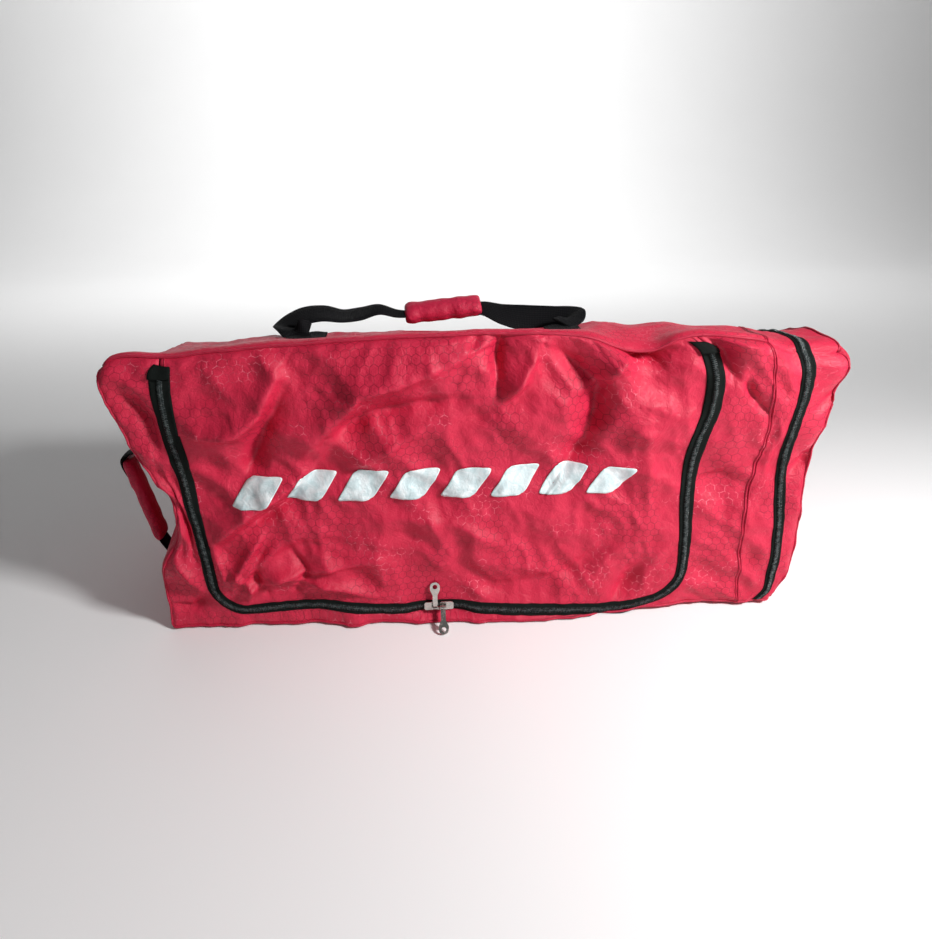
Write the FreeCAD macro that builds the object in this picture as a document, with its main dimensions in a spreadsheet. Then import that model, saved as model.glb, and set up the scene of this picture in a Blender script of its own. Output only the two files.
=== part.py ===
import FreeCAD, Part
import math
import os

import Sketcher

# A soft hockey equipment bag, standing on its bottom panel.
# X runs along the length, -Y is the long front with the U-shaped zip, +Z is up.
# The origin is the middle of the bottom panel, on the floor. All sizes are in millimetres.

doc = FreeCAD.newDocument("equipment_bag")
sheet = doc.addObject("Spreadsheet::Sheet", "sizes")

SIZES = {
    # overall form: the top is flat to the crest and then falls to the low back
    "length": 914,
    "depth": 356,
    "front_height": 406,
    "crest_y": -80,
    "crest_height": 398,
    "back_height": 322,
    "wall": 3,
    "floor_gap": 0.5,
    "slack": 0.6,
    # the U-shaped main zip and the flap inside it, measured on the zip's centreline
    "zip_left": -383,
    "zip_right": 293,
    "zip_base": 24,
    "zip_corner": 50,
    "hinge_height": 389,
    "tape_wide": 8,
    "tape_thick": 1,
    "coil_wide": 3,
    "coil_thick": 2.4,
    "stop_wide": 9,
    "stop_tall": 4,
    # the end pocket and its zip
    "pocket_seam": 370,
    "pocket_zip": 420,
    "divider_thick": 2,
    "end_zip_foot": 6,
    # welts and piping
    "welt_proud": 2.5,
    "welt_wide": 2.4,
    "cord_radius": 2.5,
    # sliders and pull tabs
    "slider_long": 20,
    "slider_wide": 13,
    "slider_thick": 1.4,
    "slider_gap": 0.4,
    "post_thick": 0.5,
    "post_long": 10,
    "lug_thick": 1.6,
    "lug_tall": 4.4,
    "lug_apart": 6.6,
    "lug_reach": 6.3,
    "pin_reach": 4,
    "pin_radius": 1,
    "eye_radius": 2.5,
    "eye_bore": 1.3,
    "eye_wide": 6,
    "tab_thick": 1.6,
    "tab_neck": 7,
    "tab_shoulder": 20,
    "tab_end_radius": 7,
    "tab_hole_radius": 3.4,
    "tab_hole_height": 33,
    "crown_shift": 5.5,
    "sliders_meet": -61,
    "slider_spacing": 22,
    "end_slider_height": 60,
    # haul handles on the top panel
    "webbing_wide": 50,
    "webbing_thick": 3,
    "haul_left": -223,
    "haul_right": 114,
    "haul_tall": 72,
    "haul_band": 30,
    "haul_corner": 18,
    "haul_base": 95,
    "haul_lift": 4.5,
    "patch_long": 44,
    "patch_thick": 1.5,
    # padded grip of the front haul handle
    "grip_middle": -47,
    "grip_long": 104,
    "grip_tall": 40,
    "grip_thick": 26,
    "grip_cover": 1.5,
    "grip_corner": 8,
    # upright handle on the left end
    "end_handle_y": -95,
    "end_top": 252,
    "end_bottom": 82,
    "end_upper_bend": 225,
    "end_lower_bend": 107,
    "end_upper_reach": 40,
    "end_lower_reach": 25,
    "end_tab_wide": 14,
    "end_tab_reach": 19,
    "end_tab_gap": 6.5,
    "end_grip_long": 96,
    "end_grip_wide": 58,
    "end_grip_thick": 19,
}

for row, (name, number) in enumerate(SIZES.items(), start=1):
    sheet.set(f"A{row}", name)
    sheet.set(f"B{row}", str(number))
    sheet.setAlias(f"B{row}", name)
doc.recompute()

NODES = []
CLOSE = 1e-4
ROUGH_RADIUS = 40.0


def sized(text):
    """Turn plain size names into references to the sheet."""
    for name in sorted(SIZES, key=len, reverse=True):
        text = text.replace(f"<{name}>", f"sizes.{name}")
    return text


def bind(item, field, text):
    """Bind one property to an expression of sheet sizes."""
    item.setExpression(field, sized(text))


def new_body(label):
    """Start a named sub-part as its own body."""
    body = doc.addObject("PartDesign::Body", label)
    body.Label = label
    NODES.append(body)
    return body


def new_sketch(body, role, offset):
    """Attach a sketch to one of the body's own planes, moved along the plane's normal."""
    sketch = body.newObject("Sketcher::SketchObject", f"{body.Name}_sketch")
    plane = [item for item in body.Origin.OriginFeatures if item.Role == role][0]
    sketch.AttachmentSupport = [(plane, "")]
    sketch.MapMode = "FlatFace"
    bind(sketch, "AttachmentOffset.Base.z", offset)
    return sketch


def pin_point(sketch, geometry, point, across, up):
    """Hold one point of the sketch at a place given by two expressions."""
    for kind, text in (("DistanceX", across), ("DistanceY", up)):
        index = sketch.addConstraint(Sketcher.Constraint(kind, -1, 1, geometry, point, ROUGH_RADIUS))
        bind(sketch, f"Constraints[{index}]", text)


def add_outline(sketch, corners):
    """Add a closed polygon whose corners are pairs of expressions."""
    first = sketch.GeometryCount
    count = len(corners)
    turns = [2 * math.pi * (index + 0.4) / count for index in range(count)]
    rough = [FreeCAD.Vector(math.cos(turn), math.sin(turn), 0) * ROUGH_RADIUS for turn in turns]
    for index in range(count):
        sketch.addGeometry(Part.LineSegment(rough[index], rough[(index + 1) % count]), False)
    for index in range(count):
        follower = first + (index + 1) % count
        sketch.addConstraint(Sketcher.Constraint("Coincident", first + index, 2, follower, 1))
    for index, (across, up) in enumerate(corners):
        pin_point(sketch, first + index, 1, across, up)


def add_circle(sketch, across, up, radius):
    """Add a circle whose centre and radius are expressions."""
    start = FreeCAD.Vector(ROUGH_RADIUS, ROUGH_RADIUS, 0)
    index = sketch.addGeometry(Part.Circle(start, FreeCAD.Vector(0, 0, 1), 1.0), False)
    pin_point(sketch, index, 3, across, up)
    size = sketch.addConstraint(Sketcher.Constraint("Radius", index, 1.0))
    bind(sketch, f"Constraints[{size}]", radius)


def add_pad(body, sketch, thickness, middle=False):
    """Pad a sketch along its normal, or evenly to both sides."""
    pad = body.newObject("PartDesign::Pad", f"{body.Name}_pad")
    pad.Profile = sketch
    if middle:
        pad.SideType = "Symmetric"
    bind(pad, "Length", thickness)
    doc.recompute()
    return pad


def on_line(vertex, foot, direction):
    """Say whether a vertex lies on the line through foot."""
    return (vertex.Point - foot).cross(direction).Length < CLOSE


def round_corners(body, sketch, corners, radius):
    """Fillet the edges that rise from the numbered corners of a sketch."""
    tip = body.Tip
    direction = sketch.Placement.Rotation.multVec(FreeCAD.Vector(0, 0, 1))
    names = []
    for corner in corners:
        foot = sketch.Placement.multVec(sketch.Geometry[corner].StartPoint)
        for number, edge in enumerate(tip.Shape.Edges, start=1):
            if all(on_line(vertex, foot, direction) for vertex in edge.Vertexes):
                names.append(f"Edge{number}")
    fillet = body.newObject("PartDesign::Fillet", f"{body.Name}_round")
    fillet.Base = (tip, names)
    bind(fillet, "Radius", radius)
    doc.recompute()
    return fillet


def add_plate(label, role, offset, loops, thickness, middle=False):
    """Make a sub-part by padding one or more polygon loops."""
    body = new_body(label)
    sketch = new_sketch(body, role, offset)
    for corners in loops:
        add_outline(sketch, corners)
    add_pad(body, sketch, thickness, middle)
    return body, sketch


def add_box(label, low, size):
    """Make a plain box from its lowest corner and its three sizes."""
    box = doc.addObject("Part::Box", label)
    box.Label = label
    for field, text in zip(("Length", "Width", "Height"), size):
        bind(box, field, text)
    for axis, text in zip("xyz", low):
        bind(box, f"Placement.Base.{axis}", text)
    NODES.append(box)
    return box


def add_cord(label, start, along_x, y, z):
    """Make one straight run of piping along X."""
    cord = doc.addObject("Part::Cylinder", label)
    cord.Label = label
    bind(cord, "Radius", "<cord_radius>")
    bind(cord, "Height", along_x)
    cord.Placement.Rotation = FreeCAD.Rotation(FreeCAD.Vector(0, 1, 0), 90)
    for axis, text in zip("xyz", (start, y, z)):
        bind(cord, f"Placement.Base.{axis}", text)
    NODES.append(cord)
    return cord


# ---------------------------------------------------------------- shell of the bag

FRONT = "<depth> / 2"


def section(inset, foot):
    """Cross-section of the shell, from the front foot over the top to the back foot."""
    return [
        (f"-(<depth> / 2 - ({inset}))", foot),
        (f"-(<depth> / 2 - ({inset}))", f"<front_height> - ({inset})"),
        ("<crest_y>", f"<crest_height> - ({inset})"),
        (f"<depth> / 2 - ({inset})", f"<back_height> - ({inset})"),
        (f"<depth> / 2 - ({inset})", foot),
    ]


def arch(outer, inner, foot):
    """Band of the cross-section between two insets, open at the bottom."""
    return section(outer, foot) + section(inner, foot)[::-1]


def make_bottom_panel():
    return add_box(
        "bottom_panel",
        ("-<length> / 2", "-<depth> / 2", "0"),
        ("<length> - <wall> + <floor_gap>", "<depth>", "<wall>"),
    )


def make_left_end_panel():
    return add_plate(
        "left_end_panel", "YZ_Plane", "-<length> / 2", [section("0", "<wall>")], "<wall>"
    )


def make_back_panel():
    return add_box(
        "back_panel",
        ("-<length> / 2 + <wall>", "<depth> / 2 - <wall>", "<wall>"),
        ("<length> / 2 - <wall> + <pocket_seam>", "<wall>", "<back_height> - 2 * <wall> - 0.2"),
    )


def make_top_panel():
    over = section("0", "0")[1:4]
    under = section("<wall>", "0")[2:3]
    under_front = ("-<depth> / 2", "<front_height> - <wall>")
    under_back = ("<depth> / 2", "<back_height> - <wall>")
    return add_plate(
        "top_panel",
        "YZ_Plane",
        "-<length> / 2 + <wall>",
        [over + [under_back] + under + [under_front]],
        "<length> / 2 - <wall> + <pocket_seam>",
    )


def make_divider_panel():
    return add_plate(
        "divider_panel",
        "YZ_Plane",
        "<pocket_seam> - <divider_thick>",
        [section("<wall> + 0.4", "<wall>")],
        "<divider_thick>",
    )


def make_pocket_gusset():
    return add_plate(
        "pocket_gusset",
        "YZ_Plane",
        "<pocket_seam> + 0.2",
        [arch("0", "<wall>", "<wall>")],
        "<pocket_zip> - <pocket_seam> - 0.2 - <slack>",
    )


def make_welt(label, start, foot):
    return add_plate(
        label, "YZ_Plane", start, [arch("-<welt_proud>", "0", foot)], "<welt_wide>"
    )


def make_piping():
    along = "<length> / 2 - <wall> + <pocket_seam>"
    whole = "<length> - 2 * <wall>"
    start = "-<length> / 2 + <wall>"
    add_cord("piping_top_front", start, along, "-<depth> / 2 - 2.2", "<front_height> + 2.2")
    add_cord("piping_top_back", start, along, "<depth> / 2 + 2.4", "<back_height> + 2")
    add_cord("piping_bottom_front", start, whole, "-<depth> / 2 - 2.7", "<cord_radius> + 0.2")
    add_cord("piping_bottom_back", start, whole, "<depth> / 2 + 2.7", "<cord_radius> + 0.2")


# ---------------------------------------------------------------- front flap and main zip


def flap_window(grow, top):
    """The U of the main zip, grown outwards from its centreline; the lower corners are 1 and 2."""
    return [
        (f"<zip_left> - ({grow})", top),
        (f"<zip_left> - ({grow})", f"<zip_base> - ({grow})"),
        (f"<zip_right> + ({grow})", f"<zip_base> - ({grow})"),
        (f"<zip_right> + ({grow})", top),
    ]


def make_front_surround():
    rim = [
        ("-<length> / 2 + <wall>", "<front_height> - <wall> - 0.4"),
        ("-<length> / 2 + <wall>", "<wall>"),
        ("<pocket_seam>", "<wall>"),
        ("<pocket_seam>", "<front_height> - <wall> - 0.4"),
    ]
    window = flap_window("<slack>", "<hinge_height> + 0.3")
    body, sketch = add_plate(
        "front_surround", "XZ_Plane", f"{FRONT} - <wall>", [rim, window], "<wall>"
    )
    round_corners(body, sketch, (5, 6), "<zip_corner> + <slack>")
    return body


def make_front_flap():
    body, sketch = add_plate(
        "front_flap",
        "XZ_Plane",
        f"{FRONT} - <wall>",
        [flap_window("-<slack>", "<hinge_height> - 0.3")],
        "<wall>",
    )
    round_corners(body, sketch, (1, 2), "<zip_corner> - <slack>")
    return body


def make_zip_band(label, near, far, top, lift, thickness):
    """One half of the main zip: a U between two distances outside the centreline."""
    loop = flap_window(far, top) + flap_window(near, top)[::-1]
    body, sketch = add_plate(label, "XZ_Plane", f"{FRONT} + {lift}", [loop], thickness)
    round_corners(body, sketch, (1, 2), f"<zip_corner> + ({far})")
    round_corners(body, sketch, (5, 6), f"<zip_corner> + ({near})")
    return body


def make_main_zip():
    outer_top = "<hinge_height> - 3"
    inner_top = "<hinge_height> - 8"
    make_zip_band(
        "main_zip_tape_outer", "<slack>", "<slack> + <tape_wide>", outer_top, "0", "<tape_thick>"
    )
    make_zip_band(
        "main_zip_coil_outer", "<slack>", "<slack> + <coil_wide>", outer_top, "<tape_thick>", "<coil_thick>"
    )
    make_zip_band(
        "main_zip_tape_inner", "-<slack> - <tape_wide>", "-<slack>", inner_top, "0", "<tape_thick>"
    )
    make_zip_band(
        "main_zip_coil_inner", "-<slack> - <coil_wide>", "-<slack>", inner_top, "<tape_thick>", "<coil_thick>"
    )
    stops = [
        [
            (f"<{side}> - <stop_wide> / 2", "<hinge_height> + 1.5"),
            (f"<{side}> + <stop_wide> / 2", "<hinge_height> + 1.5"),
            (f"<{side}> + <stop_wide> / 2", "<hinge_height> + 1.5 + <stop_tall>"),
            (f"<{side}> - <stop_wide> / 2", "<hinge_height> + 1.5 + <stop_tall>"),
        ]
        for side in ("zip_left", "zip_right")
    ]
    for side, corners in zip(("left", "right"), stops):
        add_plate(f"main_zip_stop_{side}", "XZ_Plane", FRONT, [corners], "<coil_thick>")


# ---------------------------------------------------------------- end pocket


def make_end_zip_half(side, tape_start, coil_start, foot):
    over_tape = "-<tape_thick>"
    over_coil = "-<tape_thick> - <coil_thick>"
    add_plate(f"end_zip_tape_{side}", "YZ_Plane", tape_start, [arch(over_tape, "0", foot)], "<tape_wide>")
    add_plate(
        f"end_zip_coil_{side}", "YZ_Plane", coil_start, [arch(over_coil, over_tape, foot)], "<coil_wide>"
    )


def make_pocket_cap():
    """A shallow tray: a rim that follows the shell and an end panel across it."""
    body, _ = add_plate(
        "pocket_cap",
        "YZ_Plane",
        "<pocket_zip> + <slack>",
        [arch("0", "<wall>", "<wall> + <floor_gap>")],
        "<length> / 2 - <wall> - <pocket_zip> - <slack>",
    )
    panel = new_sketch(body, "YZ_Plane", "<length> / 2 - <wall>")
    add_outline(panel, section("0", "<wall> + <floor_gap>"))
    add_pad(body, panel, "<wall>")
    return body


# ---------------------------------------------------------------- sliders and pull tabs


def rectangle(x_low, x_high, y_low, y_high):
    return [(x_low, y_low), (x_high, y_low), (x_high, y_high), (x_low, y_high)]


SLIDER_BACK = "<tape_thick> + <coil_thick> + <slider_gap>"


def make_slider(label, shift, across):
    """Slider in its own frame: x along the zip, -y outwards, z across towards the panel it rides with.

    The crown carries the pull tab's pin, which lies along the zip, or across it.
    """
    half_long = "<slider_long> / 2"
    half_wide = "<slider_wide> / 2"
    body = new_body(label)
    plate = new_sketch(body, "XZ_Plane", SLIDER_BACK)
    add_outline(plate, rectangle(f"-{half_long}", half_long, f"-{half_wide}", half_wide))
    add_pad(body, plate, "<slider_thick>")
    round_corners(body, plate, (0, 1, 2, 3), "3")
    post = new_sketch(body, "XZ_Plane", "-<wall> - <slider_gap> - 0.2")
    half_post = "<post_thick> / 2"
    add_outline(post, rectangle("-<post_long> / 2", "<post_long> / 2", f"-{half_post}", half_post))
    add_pad(body, post, f"{SLIDER_BACK} + <wall> + <slider_gap> + 0.4")
    keeper = new_sketch(body, "XZ_Plane", "-<wall> - <slider_gap> - <slider_thick>")
    add_outline(keeper, rectangle(f"-{half_long} + 2", f"{half_long} - 2", f"-{half_post}", half_wide))
    add_pad(body, keeper, "<slider_thick>")
    face = f"{SLIDER_BACK} + <slider_thick>"
    half_lug = "<lug_tall> / 2"
    for side in ("-1", "1"):
        middle = f"{side} * (<lug_apart> + <lug_thick>) / 2"
        if across:
            lug = new_sketch(body, "XY_Plane", f"{middle} - <lug_thick> / 2")
            corners = rectangle(
                f"{shift} - {half_lug}", f"{shift} + {half_lug}", f"-({face}) - <lug_reach>", f"-({face}) + 0.2"
            )
        else:
            lug = new_sketch(body, "YZ_Plane", f"{shift} + {middle} - <lug_thick> / 2")
            corners = rectangle(f"-({face}) - <lug_reach>", f"-({face}) + 0.2", f"-{half_lug}", half_lug)
        add_outline(lug, corners)
        add_pad(body, lug, "<lug_thick>")
    out = f"-({face}) - <pin_reach>"
    span = "<lug_apart> + <lug_thick>"
    if across:
        pin = new_sketch(body, "XY_Plane", "0")
        add_circle(pin, shift, out, "<pin_radius>")
    else:
        pin = new_sketch(body, "YZ_Plane", shift)
        add_circle(pin, out, "0", "<pin_radius>")
    add_pad(body, pin, span, middle=True)
    return body


def make_pull_tab(label):
    """Pull tab in its own frame: an eye round x at the origin and a flat tab up z."""
    body = new_body(label)
    eye = new_sketch(body, "YZ_Plane", "0")
    add_circle(eye, "0", "0", "<eye_radius>")
    add_circle(eye, "0", "0", "<eye_bore>")
    add_pad(body, eye, "<eye_wide>", middle=True)
    half_neck = "<tab_neck> / 2"
    neck = new_sketch(body, "XZ_Plane", "0")
    foot = "<eye_radius> - 0.6"
    root = "<eye_wide> / 2 - 0.4"
    add_outline(
        neck,
        [
            (f"-({root})", foot),
            (root, foot),
            (half_neck, "<tab_shoulder> / 3"),
            (half_neck, "<tab_shoulder>"),
            ("<tab_end_radius>", "<tab_shoulder> + 8"),
            ("<tab_end_radius>", "<tab_hole_height> + <tab_end_radius>"),
            ("-<tab_end_radius>", "<tab_hole_height> + <tab_end_radius>"),
            ("-<tab_end_radius>", "<tab_shoulder> + 8"),
            (f"-{half_neck}", "<tab_shoulder>"),
            (f"-{half_neck}", "<tab_shoulder> / 3"),
        ],
    )
    add_circle(neck, "0", "<tab_hole_height>", "<tab_hole_radius>")
    add_pad(body, neck, "<tab_thick>", middle=True)
    round_corners(body, neck, (5, 6), "<tab_end_radius> - 0.2")
    return body


def place(item, x, y, z, axis=(1, 0, 0), degrees=0.0):
    """Put a sub-part in the bag's frame, turned about one axis."""
    item.Placement.Rotation = FreeCAD.Rotation(FreeCAD.Vector(*axis), degrees)
    for name, text in zip("xyz", (x, y, z)):
        bind(item, f"Placement.Base.{name}", text)


PIN_OUT = f"({SLIDER_BACK} + <slider_thick> + <pin_reach>)"
LEFT_TAB_LEAN = -9.0
RIGHT_TAB_LEAN = 122.0
END_TAB_LEAN = 4.0


def make_main_sliders():
    """Two sliders back to back; the left tab lies up on the flap, the right one droops to the floor."""
    for side, sign, lean in (("left", "-1", LEFT_TAB_LEAN), ("right", "1", RIGHT_TAB_LEAN)):
        inward = f"-({sign}) * <crown_shift>"
        middle = f"<sliders_meet> + ({sign}) * <slider_spacing> / 2"
        slider = make_slider(f"main_zip_slider_{side}", inward, across=False)
        place(slider, middle, "-<depth> / 2", "<zip_base>")
        tab = make_pull_tab(f"main_zip_pull_{side}")
        place(tab, f"{middle} + {inward}", f"-<depth> / 2 - {PIN_OUT}", "<zip_base>", degrees=lean)


def make_end_slider():
    """The pocket's slider, low on the back, with its tab hanging down."""
    slider = make_slider("end_zip_slider", "0", across=True)
    turned = FreeCAD.Rotation(
        FreeCAD.Vector(0, 0, 1), FreeCAD.Vector(0, -1, 0), FreeCAD.Vector(1, 0, 0), "XYZ"
    )
    place(slider, "<pocket_zip>", "<depth> / 2", "<end_slider_height>")
    slider.Placement.Rotation = turned
    tab = make_pull_tab("end_zip_pull")
    place(
        tab,
        "<pocket_zip>",
        f"<depth> / 2 + {PIN_OUT}",
        "<end_slider_height>",
        degrees=180.0 - END_TAB_LEAN,
    )


# ---------------------------------------------------------------- haul handles

FRONT_HANDLE_LEAN = -76.5
BACK_HANDLE_LEAN = -101.0
CREST_SLOPE = "(<front_height> - <crest_height>) / (<crest_y> + <depth> / 2)"
FALL_SLOPE = "(<crest_height> - <back_height>) / (<depth> / 2 - <crest_y>)"
FRONT_BASE_Z = f"<front_height> - {CREST_SLOPE} * (<depth> / 2 - <haul_base>) + <haul_lift>"
BACK_BASE_Z = f"<crest_height> - {FALL_SLOPE} * (<haul_base> - <crest_y>) + <haul_lift>"


def make_haul_webbing(label, z, y, lean):
    """A flat loop of webbing: two legs on the top panel joined by a folded band."""
    half = "<webbing_wide> / 2"
    loop = [
        (f"<haul_left> - {half}", "0.5"),
        (f"<haul_left> + {half}", "0.5"),
        (f"<haul_left> + {half}", "<haul_tall> - <haul_band>"),
        (f"<haul_right> - {half}", "<haul_tall> - <haul_band>"),
        (f"<haul_right> - {half}", "0.5"),
        (f"<haul_right> + {half}", "0.5"),
        (f"<haul_right> + {half}", "<haul_tall>"),
        (f"<haul_left> - {half}", "<haul_tall>"),
    ]
    body, sketch = add_plate(label, "XZ_Plane", "0", [loop], "<webbing_thick>", middle=True)
    round_corners(body, sketch, (6, 7), "<haul_corner> + <haul_band>")
    round_corners(body, sketch, (2, 3), "<haul_corner>")
    place(body, "0", y, z, degrees=lean)
    return body


def make_sleeve(label, tall, thick, slot_tall, slot_thick, corner):
    """A padded sleeve along X with a slot for what it holds, in the handle's own plane."""
    body = new_body(label)
    sketch = new_sketch(body, "YZ_Plane", "<grip_middle> - <grip_long> / 2")
    centre = "<haul_tall> - <haul_band> / 2"
    for height, width in ((tall, thick), (slot_tall, slot_thick)):
        low = f"{centre} - ({height}) / 2"
        high = f"{centre} + ({height}) / 2"
        add_outline(sketch, rectangle(f"-({width}) / 2", f"({width}) / 2", low, high))
    add_pad(body, sketch, "<grip_long>")
    round_corners(body, sketch, (0, 1, 2, 3), corner)
    place(body, "0", "-<haul_base>", FRONT_BASE_Z, degrees=FRONT_HANDLE_LEAN)
    return body


def make_haul_grip():
    inner_tall = "<grip_tall> - 2 * <grip_cover>"
    inner_thick = "<grip_thick> - 2 * <grip_cover>"
    cover = make_sleeve(
        "haul_grip_cover", "<grip_tall>", "<grip_thick>", inner_tall, inner_thick, "<grip_corner>"
    )
    round_corners(cover, cover.Group[0], (4, 5, 6, 7), "<grip_corner> - <grip_cover>")
    make_sleeve(
        "haul_grip_foam",
        inner_tall,
        inner_thick,
        "<haul_band>",
        "<webbing_thick>",
        "<grip_corner> - <grip_cover>",
    )


def make_haul_patches():
    """Four stitched patches that hold the handle legs on the top panel."""
    crest_tilt = -math.degrees(
        math.atan2(SIZES["front_height"] - SIZES["crest_height"], SIZES["crest_y"] + SIZES["depth"] / 2)
    )
    fall_tilt = -math.degrees(
        math.atan2(SIZES["crest_height"] - SIZES["back_height"], SIZES["depth"] / 2 - SIZES["crest_y"])
    )
    rows = (
        ("front", "-<haul_base> - <patch_long> + 6", crest_tilt, f"{FRONT_BASE_Z} + {CREST_SLOPE} * (<patch_long> - 6)"),
        ("back", "<haul_base> - <patch_long> + 6", fall_tilt, f"{BACK_BASE_Z} + {FALL_SLOPE} * (<patch_long> - 6)"),
    )
    for row, y, tilt, z in rows:
        for side in ("left", "right"):
            patch = add_box(
                f"haul_patch_{row}_{side}",
                (f"<haul_{side}> - <webbing_wide> / 2", y, f"{z} - <haul_lift> + 0.1"),
                ("<webbing_wide>", "<patch_long>", "<patch_thick>"),
            )
            patch.Placement.Rotation = FreeCAD.Rotation(FreeCAD.Vector(1, 0, 0), tilt)


# ---------------------------------------------------------------- handle on the left end

END_FACE = "-<length> / 2"
END_PLANE = "-<end_handle_y>"


def make_end_webbing():
    """A strap bowed out from the left end, with narrow ends where it turns on its stitching."""
    body = new_body("end_handle_webbing")
    reach = "<end_tab_reach>"
    bow = new_sketch(body, "XZ_Plane", END_PLANE)
    outer = [
        (f"{END_FACE} - {reach}", "<end_top>"),
        (f"{END_FACE} - <end_upper_reach>", "<end_upper_bend>"),
        (f"{END_FACE} - <end_lower_reach>", "<end_lower_bend>"),
        (f"{END_FACE} - {reach}", "<end_bottom>"),
    ]
    inner = [
        (f"{END_FACE} - {reach}", "<end_bottom> + 5"),
        (f"{END_FACE} - <end_lower_reach> + <webbing_thick>", "<end_lower_bend> + 2"),
        (f"{END_FACE} - <end_upper_reach> + <webbing_thick>", "<end_upper_bend> - 2"),
        (f"{END_FACE} - {reach}", "<end_top> - 4"),
    ]
    add_outline(bow, outer + inner)
    add_pad(body, bow, "<webbing_wide>", middle=True)
    for low, high in (("<end_bottom>", "<end_bottom> + 5"), ("<end_top> - 4", "<end_top>")):
        tab = new_sketch(body, "XZ_Plane", END_PLANE)
        corners = rectangle(f"{END_FACE} - {reach} - 0.2", f"{END_FACE} - <end_tab_gap>", low, high)
        add_outline(tab, corners)
        add_pad(body, tab, "<end_tab_wide>", middle=True)
    return body


def make_end_sleeve(label, wide, thick, slot_wide, slot_thick, corner):
    """A sleeve up its own z axis, with a slot through it."""
    body = new_body(label)
    sketch = new_sketch(body, "XY_Plane", "-<end_grip_long> / 2")
    for across, deep in ((thick, wide), (slot_thick, slot_wide)):
        add_outline(sketch, rectangle(f"-({across}) / 2", f"({across}) / 2", f"-({deep}) / 2", f"({deep}) / 2"))
    add_pad(body, sketch, "<end_grip_long>")
    round_corners(body, sketch, (0, 1, 2, 3), corner)
    lean = math.degrees(
        math.atan2(
            SIZES["end_upper_reach"] - SIZES["end_lower_reach"],
            SIZES["end_upper_bend"] - SIZES["end_lower_bend"],
        )
    )
    place(
        body,
        f"{END_FACE} - (<end_upper_reach> + <end_lower_reach>) / 2 + <webbing_thick> / 2",
        "<end_handle_y>",
        "(<end_upper_bend> + <end_lower_bend>) / 2",
        axis=(0, 1, 0),
        degrees=-lean,
    )
    return body


def make_end_grip():
    inner_wide = "<end_grip_wide> - 2 * <grip_cover>"
    inner_thick = "<end_grip_thick> - 2 * <grip_cover>"
    cover = make_end_sleeve(
        "end_grip_cover", "<end_grip_wide>", "<end_grip_thick>", inner_wide, inner_thick, "<grip_corner>"
    )
    round_corners(cover, cover.Group[0], (4, 5, 6, 7), "<grip_corner> - <grip_cover>")
    make_end_sleeve(
        "end_grip_foam",
        inner_wide,
        inner_thick,
        "<webbing_wide> + 0.4",
        "<webbing_thick> + 0.4",
        "<grip_corner> - <grip_cover>",
    )


def make_end_patches():
    for name, middle in (("top", "<end_top> - 2"), ("bottom", "<end_bottom> + 2")):
        add_box(
            f"end_patch_{name}",
            (
                f"{END_FACE} - <patch_thick>",
                "<end_handle_y> - <webbing_wide> / 2",
                f"{middle} - <patch_long> / 2",
            ),
            ("<patch_thick>", "<webbing_wide>", "<patch_long>"),
        )


# ---------------------------------------------------------------- whole bag


def make_bag():
    make_bottom_panel()
    make_left_end_panel()
    make_back_panel()
    make_top_panel()
    make_divider_panel()
    make_pocket_gusset()
    make_front_surround()
    make_front_flap()
    make_main_zip()
    make_main_sliders()
    body_edge = "<pocket_zip> - <slack>"
    cap_edge = "<pocket_zip> + <slack>"
    make_end_zip_half(
        "body", f"{body_edge} - <tape_wide>", f"{body_edge} - <coil_wide>", "<end_zip_foot>"
    )
    make_end_zip_half("cap", cap_edge, cap_edge, "<end_zip_foot>")
    make_pocket_cap()
    make_end_slider()
    make_welt("welt_left_end", "-<length> / 2", "<wall>")
    make_welt("welt_pocket_cap", "<length> / 2 - <welt_wide>", "<wall> + 1")
    make_piping()
    make_haul_webbing("haul_webbing_front", FRONT_BASE_Z, "-<haul_base>", FRONT_HANDLE_LEAN)
    make_haul_webbing("haul_webbing_back", BACK_BASE_Z, "<haul_base>", BACK_HANDLE_LEAN)
    make_haul_grip()
    make_haul_patches()
    make_end_webbing()
    make_end_grip()
    make_end_patches()


def check_and_export():
    """Stop on any failed object, then write one STEP file for each sub-part."""
    doc.recompute()
    for item in doc.Objects:
        if "Invalid" in item.State or "Error" in item.State:
            raise RuntimeError(f"{item.Label} did not compute: {item.State}")
    os.makedirs("parts", exist_ok=True)
    for node in NODES:
        shape = node.Shape
        if shape.isNull() or not shape.isValid() or shape.Volume <= 0:
            raise RuntimeError(f"{node.Label} has no valid solid")
        shape.exportStep(f"parts/{node.Label}.step")
        box = shape.BoundBox
        print(
            f"{node.Label:24s} solids {len(shape.Solids)} volume {shape.Volume:10.1f} "
            f"x {box.XMin:7.1f} {box.XMax:7.1f} y {box.YMin:7.1f} {box.YMax:7.1f} z {box.ZMin:7.1f} {box.ZMax:7.1f}"
        )


make_bag()
check_and_export()
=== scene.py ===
import math

import bpy
import numpy as np
from mathutils import Matrix, Vector


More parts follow.
